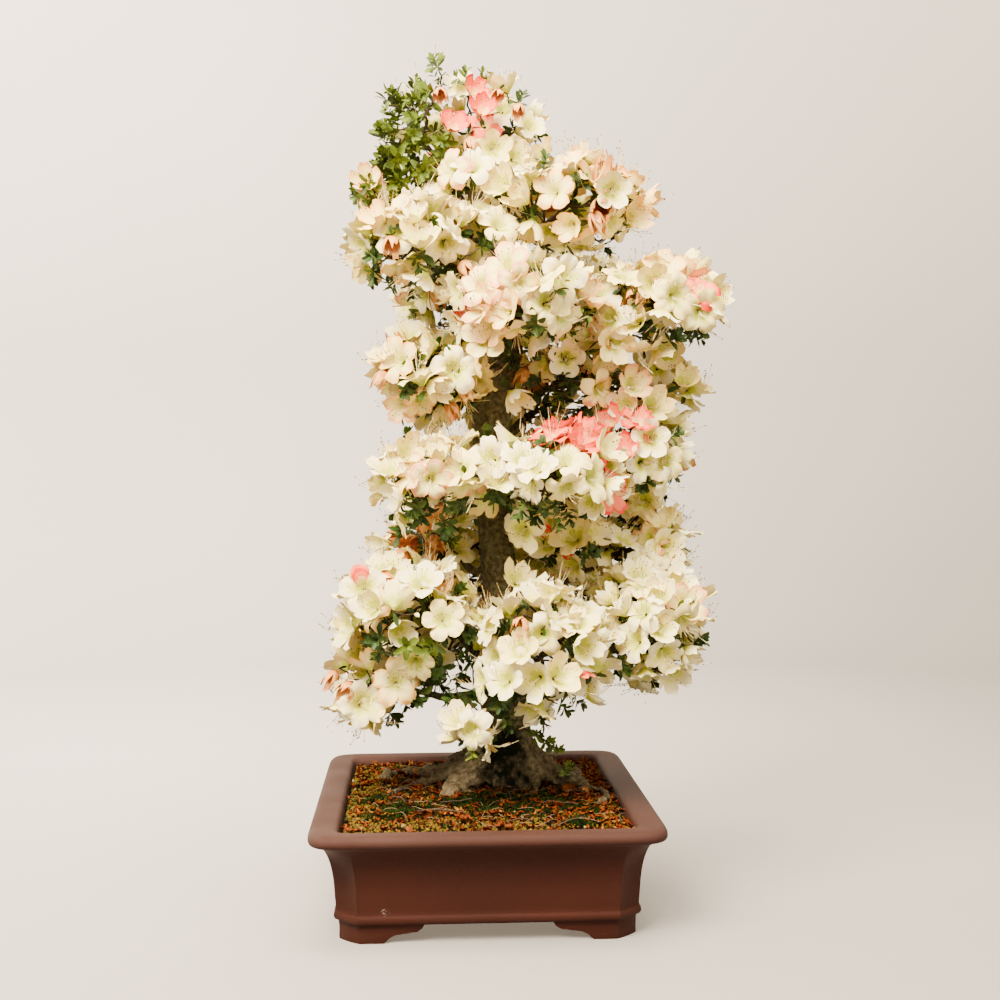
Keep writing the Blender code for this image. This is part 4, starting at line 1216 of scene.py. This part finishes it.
class AZALEA_OT_blossoms(bpy.types.Operator):
    """Open the blossoms, the withered ones and the buds, in three tiers of the crown"""

    bl_idname = "azalea.blossoms"
    bl_label = "Blossoms"

    def execute(self, context):
        settings = context.scene.azalea_blossom
        rng = np.random.default_rng(31)
        petals = petal_finishes(settings)
        order = list(petals)
        anthers = new_finish("anther", (0.07, 0.017, 0.010), (0.16, 0.045, 0.020), 900.0)
        threads = new_finish(
            "filament", (0.88, 0.76, 0.36), (0.86, 0.62, 0.30), 60.0, cover=0.4, roughness=0.5
        )
        stigma = new_finish("stigma", (0.22, 0.15, 0.03), (0.20, 0.05, 0.02), 900.0, roughness=0.4)
        forms = {
            "open": [corolla_shape(form, settings, rng) for form in OPEN_FORMS for _ in range(4)],
            "inner": [corolla_shape(form, settings, rng, 7, 5) for form in OPEN_FORMS],
            "withered": [
                corolla_shape(form, settings, rng) for form in WITHERED_FORMS for _ in range(3)
            ],
        }
        stamens = [stamens_shape(settings, rng) for _ in range(6)]
        styles = [bare_style(rng) for _ in range(5)]
        bud = bud_shape(settings.depth)
        for tier, _, _ in TIERS:
            heads = [head for head in grown_heads() if tier_of(head.place) == tier]
            corollas, centres = [], []
            for head in heads:
                if head.kind == "shoot":
                    continue
                lean = unit(UP + rng.normal(0, 0.28, 3))
                turn = scaled(aimed(head.way[None], upward=lean), [head.size])
                place = head.place[None]
                if head.kind == "bud":
                    slots = [(order.index("throat_pale"), order.index("petal_soft"))]
                    corollas.append(copies(bud, turn, place, slots))
                    continue
                family = forms.get(head.kind, forms["open" if head.outer else "inner"])
                corolla = family[rng.integers(len(family))]
                corollas.append(copies(corolla, turn, place, [blossom_finishes(head.kind, order)]))
                if head.outer and head.kind != "withered":
                    centres.append(copies(stamens[rng.integers(len(stamens))], turn, place))
            for head in heads:
                if head.kind == "shoot" and rng.random() < BARE_STYLES[tier]:
                    turn = aimed(unit(head.way + UP * 0.3)[None], rng)
                    centres.append(copies(styles[rng.integers(len(styles))], turn, head.place[None]))
            nodes = [mass.name for mass in MASSES if tier_of(mass.centre) == tier]
            new_piece(f"blossoms_{tier}", joined(corollas), list(petals.values()), nodes)
            new_piece(f"stamens_{tier}", joined(centres), (threads, anthers, stigma))
        return {"FINISHED"}


# The pieces: pot and soil

# A level of the pot: how far it lies inside the lip's edge, its height, its corner's size, and
# how far the corner bulges, from 1 for a round corner through 0 for a cut one to -1 for a hollow one
Level = namedtuple("Level", "inset height corner bulge")
POT_LEVELS = (
    Level(0.0335, 0.0000, 0.024, 0.2),
    Level(0.0330, 0.0205, 0.024, 0.2),
    Level(0.0290, 0.0225, 0.026, 0.1),
    Level(0.0275, 0.0270, 0.027, 0.0),
    Level(0.0285, 0.0310, 0.026, -0.1),
    Level(0.0300, 0.0330, 0.025, -0.2),
    Level(0.0290, 0.0480, 0.025, -0.2),
    Level(0.0275, 0.0670, 0.026, -0.2),
    Level(0.0240, 0.0860, 0.027, -0.1),
    Level(0.0180, 0.1000, 0.031, 0.3),
    Level(0.0090, 0.1090, 0.038, 0.8),
    Level(0.0020, 0.1130, 0.043, 1.0),
    Level(0.0000, 0.1180, 0.045, 1.0),
    Level(0.0025, 0.1235, 0.043, 1.0),
    Level(0.0090, 0.1260, 0.038, 1.0),
    Level(0.0270, 0.1250, 0.024, 1.0),
    Level(0.0320, 0.1220, 0.021, 1.0),
    Level(0.0340, 0.1165, 0.020, 1.0),
    Level(0.0390, 0.0970, 0.019, 1.0),
)
CORNER_STEPS = 10
# A pale scuff on the front left foot
SCUFF = (-0.1145, -0.212, 0.036)
SCUFF_SIZE = 0.0060
SCUFF_COLOUR = (0.34, 0.29, 0.24)
FLECK_COLOUR = (0.050, 0.024, 0.016)
# Half the outline of the arch between two feet, from the foot's inner edge up to the arch's crown
FOOT_OGEE = (
    (0.0000, 0.0000),
    (0.0070, 0.0065),
    (0.0145, 0.0095),
    (0.0370, 0.0125),
    (0.0430, 0.0165),
    (0.0450, 0.0205),
)
# The arches between the feet: half the width of each passage under the pot, and how it is turned
ARCHES = ((0.1165, 0.0), (0.1565, math.pi / 2))
# The top of the pot's floor, and the drain holes' radius and places along the middle
FLOOR_TOP = 0.034
DRAIN_RADIUS = 0.012
DRAINS = (-0.110, 0.110)
# The heights between which the mineral film sets in, and how far left of the middle it thickens
FILM_HEIGHTS = (0.106, 0.122)
FILM_SIDES = (0.06, 0.19)


def pot_outline(level):
    """The points round the pot at one level."""
    inset, height, corner, bulge = level
    t = np.linspace(0, 1, CORNER_STEPS + 1)
    out = corner * (1 - math.sqrt(0.5)) * bulge * np.sin(math.pi * t)
    x = LIP[0] - inset - corner * t + out
    y = LIP[1] - inset - corner * (1 - t) + out
    points = np.concatenate(
        [
            np.stack((sx * x, sy * y), axis=1)[:: 1 if sx * sy > 0 else -1]
            for sx, sy in ((1, 1), (-1, 1), (-1, -1), (1, -1))
        ]
    )
    return np.hstack((points, np.full((len(points), 1), height)))


def arch_cutter(half_width, turn, collection):
    """The space between two feet, run right through the pot, as a mesh object."""
    half = [(half_width - inward, height) for inward, height in FOOT_OGEE]
    outline = [(half_width, -0.02)] + half
    outline += [(-x, z) for x, z in reversed(outline)]
    bm = bmesh.new()
    face = bm.faces.new([bm.verts.new((x, -0.3, z)) for x, z in outline])
    pushed = bmesh.ops.extrude_face_region(bm, geom=[face])
    verts = [item for item in pushed["geom"] if isinstance(item, bmesh.types.BMVert)]
    bmesh.ops.translate(bm, verts=verts, vec=(0, 0.6, 0))
    bmesh.ops.rotate(bm, verts=bm.verts, matrix=Matrix.Rotation(turn, 3, "Z"))
    new_cutter(bm, CENTRE, collection)


def drain_cutter(along, collection):
    """A drain hole, from below the pot up to the top of its floor, as a mesh object."""
    bm = bmesh.new()
    bmesh.ops.create_cone(
        bm, cap_ends=True, segments=24, radius1=DRAIN_RADIUS, radius2=DRAIN_RADIUS, depth=2 * FLOOR_TOP
    )
    new_cutter(bm, CENTRE + (0, along, 0), collection)


def new_cutter(bm, place, collection):
    bmesh.ops.translate(bm, verts=bm.verts, vec=place)
    bmesh.ops.recalc_face_normals(bm, faces=bm.faces)
    mesh = bpy.data.meshes.new("cutter")
    bm.to_mesh(mesh)
    bm.free()
    collection.objects.link(bpy.data.objects.new("cutter", mesh))


def clay_material(settings):
    """Unglazed clay, with a dry mineral film on its lip, most at the left, pale flecks and a scuff."""
    clay = tuple(settings.clay)
    material = new_finish(
        "clay", clay, tinted(clay, 1.25), 9.0, softness=0.25, roughness=0.62,
        bump=(700.0, (1, 1, 1), 0.8, 0.0004), shine=0.12,
    )
    tree, shader, base = painted(material)
    place = surface_place(tree)
    parts = place_parts(tree, place)
    lip = ranged(tree, parts["Z"], *FILM_HEIGHTS, most=0.40)
    left = ranged(tree, parts["X"], *(float(CENTRE[0]) - side for side in FILM_SIDES), most=0.9)
    cover = maths(tree, "MULTIPLY", spots(tree, 22.0, 0.5, 0.18), left)
    film = maths(tree, "MULTIPLY", maths(tree, "ADD", cover, 0.60), lip)
    filmed = mix_colours(tree, film, base, (*settings.bloom, 1.0))
    flecks = maths(tree, "MULTIPLY", spots(tree, 130.0, 0.27, 0.02), 0.35)
    flecked = mix_colours(tree, flecks, filmed, (*FLECK_COLOUR, 1.0))
    near = ranged(tree, distance_to(tree, place, SCUFF), SCUFF_SIZE, SCUFF_SIZE * 0.3, most=0.8)
    worn = maths(tree, "MULTIPLY", spots(tree, 520.0, 0.42, 0.05), near)
    scuffed = mix_colours(tree, worn, flecked, (*SCUFF_COLOUR, 1.0))
    tree.links.new(scuffed, shader.inputs["Base Color"])
    return material


class AZALEA_OT_pot(bpy.types.Operator):
    """Model the rectangular clay pot with its rolled lip, moulded band and four feet"""

    bl_idname = "azalea.pot"
    bl_label = "Pot"

    def execute(self, context):
        settings = context.scene.azalea_pot
        rings = [pot_outline(level) for level in smooth_line(POT_LEVELS, 3)]
        size = len(rings), len(rings[0])
        faces = np.concatenate((sheet_faces(*size, closed=True), *end_caps(*size)))
        shape = Shape(np.concatenate(rings), faces)
        pot = new_piece("pot_body", shape, (clay_material(settings),), ("pot",))
        cutters = bpy.data.collections.new("cutters")
        context.scene.collection.children.link(cutters)
        for half_width, turn in ARCHES:
            arch_cutter(half_width, turn, cutters)
        for along in DRAINS:
            drain_cutter(along, cutters)
        cut = pot.modifiers.new("openings", "BOOLEAN")
        cut.operation = "DIFFERENCE"
        cut.operand_type = "COLLECTION"
        cut.collection = cutters
        soften = pot.modifiers.new("soften", "BEVEL")
        soften.width = settings.edge
        soften.segments = 2
        soften.limit_method = "ANGLE"
        soften.angle_limit = math.radians(40)
        mesh = bpy.data.meshes.new_from_object(pot.evaluated_get(context.evaluated_depsgraph_get()))
        pot.modifiers.clear()
        pot.data = mesh
        mesh.set_sharp_from_angle(angle=math.radians(38))
        for cutter in list(cutters.objects):
            bpy.data.objects.remove(cutter)
        bpy.data.collections.remove(cutters)
        return {"FINISHED"}


# The soil: half its size, its height at the edge, and how far its bed lies below the loose litter
SOIL_HALF = (LIP[0] - 0.0342, LIP[1] - 0.0342)
SOIL_EDGE = 0.1165
SOIL_LITTER = 0.0020
BED_ROWS = 110
BED_COLUMNS = 90
FALLEN_BLOSSOMS = 16
# Beds of moss: x, y and size
MOSS_BEDS = (
    (0.050, -0.085, 0.090),
    (0.105, -0.095, 0.050),
    (-0.097, -0.100, 0.065),
    (-0.020, -0.060, 0.065),
    (0.042, -0.034, 0.075),
    (-0.140, -0.030, 0.030),
    (0.110, -0.160, 0.030),
    (-0.030, 0.130, 0.070),
    (0.090, 0.110, 0.055),
)


def soil_height(x, y):
    """The height of the soil at a place: a low mound with lumps, raised a little under the moss."""
    inward = np.minimum(SOIL_HALF[0] - abs(x), SOIL_HALF[1] - abs(y))
    mound = SOIL_EDGE + (GROUND - SOIL_EDGE) * ramp(inward, 0.0, 0.05)
    lumps = noise.fractal(Vector((x * 45, y * 45, 3.1)), 1.0, 2.0, 3) * 0.0020
    return mound + lumps + 0.0015 * mossy(x, y) - SOIL_LITTER


def mossy(x, y):
    """From 0 to 1, how much moss grows at a place."""
    beds = max(1.2 - math.hypot(x - bx, (y - by) * 1.3) / size for bx, by, size in MOSS_BEDS)
    ragged = noise.fractal(Vector((x * 30, y * 30, 8.2)), 1.0, 2.0, 3) * 0.45
    return float(np.clip(beds + ragged, 0, 1))


def scattered(count, rng, keep):
    """Places on the soil, each kept by its own chance."""
    found = []
    while len(found) < count:
        x = rng.uniform(-1, 1) * (SOIL_HALF[0] - 0.003)
        y = rng.uniform(-1, 1) * (SOIL_HALF[1] - 0.003)
        corner = abs(x) - SOIL_HALF[0] + 0.012 + abs(y) - SOIL_HALF[1] + 0.012
        if corner < 0.008 and rng.random() < keep(x, y):
            found.append((x, y, soil_height(x, y)))
    return np.array(found)


def rough_stone(rng):
    stone = octahedron()
    stone.points = stone.points * rng.uniform(0.7, 1.3, stone.points.shape)
    return stone


def flake_shape(rng):
    """A dry curled flake of petal."""
    u, v = np.meshgrid(np.linspace(-1, 1, 3), np.linspace(-1, 1, 4))
    width = rng.uniform(0.18, 0.42) * np.sqrt(1.05 - v**2)
    curl = rng.uniform(0.2, 0.7) * (u**2) + rng.uniform(-0.5, 0.6) * v**2 + rng.normal(0, 0.1, u.shape)
    points = np.stack((u * width, v, curl), axis=-1).reshape(-1, 3)
    return Shape(points, sheet_faces(4, 3))


def tuft_shape(rng, blades=7):
    """A tuft of moss: short upright blades."""
    points, faces = [], []
    for blade in range(blades):
        angle = rng.uniform(0, math.tau)
        lean = np.array((math.cos(angle), math.sin(angle), 0)) * rng.uniform(0.2, 0.9)
        side = np.array((-math.sin(angle), math.cos(angle), 0)) * 0.16
        foot = lean * 0.4
        points += [foot - side, foot + side, foot + lean + UP * rng.uniform(0.7, 1.3)]
        faces.append((3 * blade, 3 * blade + 1, 3 * blade + 2))
    return Shape(points, faces)


def earthy(name, colours, shade, scale):
    """A finish for each colour, mottled with a darker shade of it."""
    return [
        new_finish(f"{name}_{index}", colour, tinted(colour, shade), scale, roughness=0.88, shine=0.06)
        for index, colour in enumerate(colours)
    ]


def strewn(name, forms, places, turns, tones, materials):
    """One piece of many small forms, each place taking one of them by chance."""
    pick = np.random.default_rng(len(places)).integers(0, len(forms), len(places))
    new_piece(name, mingled(forms, pick, turns, places, tones), materials)


def strands(rng, places, length, rise):
    """Lines of six points that lie over the soil through their places, slightly bent."""
    lines = []
    for place in places:
        angle = rng.uniform(0, math.tau)
        long = rng.uniform(*length)
        t = np.linspace(-0.5, 0.5, 6)
        way = np.array((math.cos(angle), math.sin(angle), 0))
        bend = np.array((-math.sin(angle), math.cos(angle), 0)) * rng.normal(0, 0.35) * long
        line = place + np.outer(t, way) * long + np.outer(t**2, bend)
        line[:, 0] = np.clip(line[:, 0], -SOIL_HALF[0], SOIL_HALF[0])
        line[:, 1] = np.clip(line[:, 1], -SOIL_HALF[1], SOIL_HALF[1])
        line[:, 2] = [soil_height(x, y) + rise for x, y in line[:, :2]]
        line[:, 2] += rise * rng.random() * (1 - 4 * t**2)
        lines.append(line)
    return lines


class AZALEA_OT_soil(bpy.types.Operator):
    """Fill the pot with granular soil, moss, fallen petals and dry threads"""

    bl_idname = "azalea.soil"
    bl_label = "Soil"

    def execute(self, context):
        settings = context.scene.azalea_soil
        rng = np.random.default_rng(12)
        self.bed()
        self.granules(settings, rng)
        self.flakes(settings, rng)
        self.fallen(context.scene.azalea_blossom, rng)
        self.moss(settings, rng)
        self.litter(rng)
        return {"FINISHED"}

    def upright(self, places, rng, lean, least, most):
        """Turns for small things that lie or stand on the soil, scaled to their sizes."""
        turns = aimed(UP + rng.normal(0, lean, places.shape), rng)
        return scaled(turns, rng.uniform(least, most, len(places)))

    def bed(self):
        xs = np.linspace(-SOIL_HALF[0], SOIL_HALF[0], BED_COLUMNS)
        ys = np.linspace(-SOIL_HALF[1], SOIL_HALF[1], BED_ROWS)
        points = np.array([(x, y, soil_height(x, y) - 0.001) for y in ys for x in xs])
        earth = new_finish(
            "earth", (0.0060, 0.0035, 0.0015), (0.012, 0.0070, 0.0025), 90.0, roughness=0.95,
            bump=(420.0, (1, 1, 1), 0.8, 0.003), shine=0.05,
        )
        shape = Shape(points, sheet_faces(BED_ROWS, BED_COLUMNS))
        new_piece("soil_bed", shape, (earth,), ("soil",))

    def granules(self, settings, rng):
        """Loose granules, yellow with lichen near the pot's wall and darker towards the trunk."""
        colours = (
            (0.150, 0.088, 0.008),
            (0.085, 0.058, 0.006),
            (0.120, 0.032, 0.004),
            (0.048, 0.012, 0.002),
            (0.011, 0.007, 0.002),
            (0.260, 0.200, 0.060),
        )
        places = scattered(settings.granules, rng, lambda x, y: 1.0 - 0.88 * mossy(x, y))
        sizes = rng.uniform(0.0013, 0.0029, len(places))
        sizes *= np.where(rng.random(len(places)) < 0.05, 1.5, 1.0)
        turns = scaled(aimed(rng.normal(size=places.shape), rng), sizes)
        edge = ramp((abs(places[:, :2]) / SOIL_HALF).max(axis=1), 0.55, 0.88)
        pale = rng.random(len(places)) < 0.10 + 0.72 * edge
        light = rng.choice((0, 1, 2, 5), len(places), p=(0.48, 0.34, 0.15, 0.03))
        dark = rng.choice((1, 2, 3, 4), len(places), p=(0.15, 0.20, 0.30, 0.35))
        tones = np.where(pale, light, dark)
        stones = [rough_stone(rng) for _ in range(5)]
        strewn("granules", stones, places, turns, tones, earthy("granule", colours, 0.5, 300.0))

    def flakes(self, settings, rng):
        """Dry scraps of petal, thickest at the right and the back."""
        colours = (
            (0.200, 0.038, 0.005),
            (0.120, 0.020, 0.003),
            (0.300, 0.110, 0.018),
            (0.040, 0.009, 0.002),
        )

        def thick(x, y):
            return (1.0 - 0.75 * mossy(x, y)) * (0.35 + 0.65 * ramp(x + 0.5 * y, -0.12, 0.10))

        places = scattered(settings.flakes, rng, thick)
        places[:, 2] += 0.0020
        turns = self.upright(places, rng, 0.32, 0.0024, 0.0056)
        tones = rng.choice(4, len(places), p=(0.40, 0.30, 0.14, 0.16))
        flakes = [flake_shape(rng) for _ in range(6)]
        finishes = earthy("fallen_petal", colours, 0.6, 200.0)
        strewn("fallen_petals", flakes, places, turns, tones, finishes)

    def fallen(self, blossom, rng):
        """Whole withered blossoms that have dropped."""
        colours = ((0.19, 0.052, 0.010), (0.13, 0.028, 0.005), (0.30, 0.140, 0.040))
        places = scattered(FALLEN_BLOSSOMS, rng, lambda x, y: 1.0 - 0.8 * mossy(x, y))
        places[:, 2] += 0.006
        turns = self.upright(places, rng, 0.7, 0.26, 0.48)
        forms = [corolla_shape(form, blossom, rng, 6, 5) for form in WITHERED_FORMS]
        for form in forms:
            form.slots[:] = 0
            form.points[:, 2] *= 0.4
        tones = rng.integers(0, 3, len(places))
        finishes = earthy("fallen_blossom", colours, 0.7, 200.0)
        strewn("fallen_blossoms", forms, places, turns, tones, finishes)

    def moss(self, settings, rng):
        greens = ((0.012, 0.023, 0.002), (0.034, 0.050, 0.004), (0.005, 0.009, 0.0015))
        places = scattered(settings.tufts, rng, lambda x, y: mossy(x, y) ** 2 + 0.02)
        turns = self.upright(places, rng, 0.15, 0.0026, 0.0046)
        tones = rng.choice(3, len(places), p=(0.44, 0.20, 0.36))
        tufts = [tuft_shape(rng) for _ in range(5)]
        strewn("moss", tufts, places, turns, tones, earthy("moss", greens, 0.6, 200.0))

    def litter(self, rng):
        """Pale dry threads and a few brown twigs."""
        straw = new_finish(
            "straw", (0.30, 0.21, 0.11), (0.15, 0.09, 0.04), 120.0, roughness=0.8, shine=0.1
        )
        brown = new_finish(
            "dead_twig", (0.036, 0.016, 0.008), (0.070, 0.034, 0.016), 120.0, roughness=0.9
        )
        for name, finish, count, length, radius, rise in (
            ("dry_threads", straw, 110, (0.008, 0.034), 0.00022, 0.0034),
            ("dead_twigs", brown, 26, (0.020, 0.060), 0.00055, 0.0042),
        ):
            lines = strands(rng, scattered(count, rng, lambda x, y: 1.0), length, rise)
            new_piece(name, tubes(lines, np.full((count, 6), radius), 4), (finish,))


# The stage

CAMERA_PLACE = (-0.0717, -1.8436, 0.5293)
CAMERA_TURN = math.radians(3.006)
CAMERA_RISE = math.radians(-1.412)
CAMERA_ROLL = math.radians(-0.272)
FLOOR_RADIUS = 2.2
BEND = 0.9
WALL_HEIGHT = 4.0
WARM = (1.0, 0.91, 0.77)
ROOM_STRENGTH = 0.8
# How dark the painted shade is, low down on the right of the backdrop, as a share of its colour
PAINTED_SHADE_TONE = 0.42

# A soft square light: where it is, what it looks at, and what alone it lights, if not everything
Light = namedtuple("Light", "name place target size power only")
LIGHTS = (
    Light("window", (-1.25, -1.55, 2.2), (0, 0, 0.8), 1.5, 190.0, None),
    Light("sky", (0.0, 0.0, 2.5), (0, 0, 0.4), 1.7, 105.0, None),
    Light("key", (-0.8, -1.5, 2.3), (0, 0, 0.8), 1.2, 260.0, "plant"),
    Light("fill", (1.9, -1.5, 1.7), (0, 0, 0.7), 1.8, 55.0, "plant"),
    Light("wash", (-1.3, 0.4, 2.6), (-1.0, 2.9, 1.9), 1.2, 350.0, "wall"),
)


def camera_axes():
    """Right, up and back of the camera, as the columns of a turn."""
    level = math.cos(CAMERA_RISE)
    east, north = math.sin(CAMERA_TURN), math.cos(CAMERA_TURN)
    forward = Vector((east * level, north * level, math.sin(CAMERA_RISE)))
    right = Vector((north, -east, 0))
    above = right.cross(forward)
    rolled = right * math.cos(CAMERA_ROLL) + above * math.sin(CAMERA_ROLL)
    return Matrix((rolled, forward.cross(rolled) * -1, -forward)).transposed()


def new_light(name, place, target, size, power, only, kept):
    """An area light. What alone it lights is one of the kept collections."""
    data = bpy.data.lights.new(name, "AREA")
    data.shape = "RECTANGLE"
    data.size, data.size_y = size, size
    data.energy = power
    data.color = WARM
    light = bpy.data.objects.new(name, data)
    light.location = place
    light.rotation_euler = (Vector(target) - Vector(place)).to_track_quat("-Z", "Y").to_euler()
    light.visible_camera = False
    bpy.context.scene.collection.objects.link(light)
    if only:
        light.light_linking.receiver_collection = kept[only]
    if only == "wall":
        light.light_linking.blocker_collection = kept[only]


def backdrop_material(colour):
    """Matte paint for the floor and the wall, with painted shade low down on the right."""
    material = new_finish("backdrop", colour, tinted(colour, 0.97), 1.5, softness=0.3, roughness=0.9)
    tree, shader, paint = painted(material)
    parts = place_parts(tree, surface_place(tree))
    # Painted shade: the paint darkens towards the lower right, away from the light
    right = ranged(tree, parts["X"], -0.6, 2.2)
    low = ranged(tree, parts["Z"], 2.2, 0.2)
    painted_shade = maths(tree, "MULTIPLY", right, low)
    shaded = mix_colours(tree, painted_shade, paint, (*tinted(colour, PAINTED_SHADE_TONE), 1.0))
    tree.links.new(shaded, shader.inputs["Base Color"])
    return material


class AZALEA_OT_stage(bpy.types.Operator):
    """Set the pale floor and wall, the soft lights and the camera"""

    bl_idname = "azalea.stage"
    bl_label = "Stage"

    def execute(self, context):
        settings = context.scene.azalea_stage
        wall = self.backdrop(tuple(settings.wall))
        kept = {
            "wall": bpy.data.collections.new("wall"),
            "plant": bpy.data.collections.new("all but the wall"),
        }
        for collection in kept.values():
            collection.objects.link(wall)
        kept["plant"].collection_objects[0].light_linking.link_state = "EXCLUDE"
        for light in LIGHTS:
            new_light(*light, kept)
        world = bpy.data.worlds.new("room")
        world.use_nodes = True
        room = world.node_tree.nodes["Background"].inputs
        room["Color"].default_value = (*WARM, 1)
        room["Strength"].default_value = ROOM_STRENGTH
        context.scene.world = world
        data = bpy.data.cameras.new("camera")
        data.sensor_width = 36.0
        data.lens = settings.lens
        camera = bpy.data.objects.new("camera", data)
        turn = camera_axes().to_4x4()
        turn.translation = Vector(CAMERA_PLACE) + Vector(CENTRE)
        camera.matrix_world = turn
        context.scene.collection.objects.link(camera)
        context.scene.camera = camera
        return {"FINISHED"}

    def backdrop(self, colour):
        """A round floor that sweeps up into a wall all round and lets the room's light in."""
        sweep = np.linspace(0, math.pi / 2, 11)
        profile = [(0.01, 0.0), (0.6, 0.0), (1.4, 0.0)]
        profile += [(FLOOR_RADIUS + BEND * math.sin(a), BEND * (1 - math.cos(a))) for a in sweep]
        profile += [(FLOOR_RADIUS + BEND, WALL_HEIGHT)]
        angle = np.arange(96) / 96 * math.tau
        points = [(r * math.cos(a), r * math.sin(a), z) for r, z in profile for a in angle]
        faces = sheet_faces(len(profile), len(angle), closed=True)
        mesh = bpy.data.meshes.new("backdrop")
        mesh.from_pydata((np.array(points) + CENTRE).tolist(), [], faces.tolist())
        mesh.shade_smooth()
        mesh.materials.append(backdrop_material(colour))
        wall = bpy.data.objects.new("backdrop", mesh)
        wall.visible_diffuse = False
        wall.visible_shadow = False
        bpy.context.scene.collection.objects.link(wall)
        return wall


class AZALEA_PT_panel(bpy.types.Panel):
    bl_idname = "AZALEA_PT_panel"
    bl_label = "Azalea Bonsai"
    bl_space_type = "VIEW_3D"
    bl_region_type = "UI"
    bl_category = "Azalea"

    def draw(self, context):
        for operator, settings in PANEL_ROWS:
            box = self.layout.box()
            box.operator(operator.bl_idname)
            group = getattr(context.scene, settings, None)
            for name in group.__annotations__ if group else ():
                box.prop(group, name)


SETTINGS = {
    "azalea_pot": PotSettings,
    "azalea_tree": TreeSettings,
    "azalea_blossom": BlossomSettings,
    "azalea_leaf": LeafSettings,
    "azalea_soil": SoilSettings,
    "azalea_stage": StageSettings,
}
PANEL_ROWS = (
    (AZALEA_OT_pot, "azalea_pot"),
    (AZALEA_OT_soil, "azalea_soil"),
    (AZALEA_OT_limbs, "azalea_tree"),
    (AZALEA_OT_twigs, "azalea_tree"),
    (AZALEA_OT_blossoms, "azalea_blossom"),
    (AZALEA_OT_leaves, "azalea_leaf"),
    (AZALEA_OT_stage, "azalea_stage"),
)
CLASSES = (*SETTINGS.values(), *(operator for operator, _ in PANEL_ROWS), AZALEA_PT_panel)


def register():
    for cls in CLASSES:
        bpy.utils.register_class(cls)
    for name, cls in SETTINGS.items():
        setattr(bpy.types.Scene, name, PointerProperty(type=cls))


def unregister():
    for name in SETTINGS:
        delattr(bpy.types.Scene, name)
    for cls in reversed(CLASSES):
        bpy.utils.unregister_class(cls)


def main():
    register()
    bpy.ops.azalea.pot()
    bpy.ops.azalea.soil()
    bpy.ops.azalea.limbs()
    bpy.ops.azalea.twigs()
    bpy.ops.azalea.blossoms()
    bpy.ops.azalea.leaves()
    bpy.ops.azalea.stage()
    bpy.context.view_layer.update()


if __name__ == "__main__":
    main()
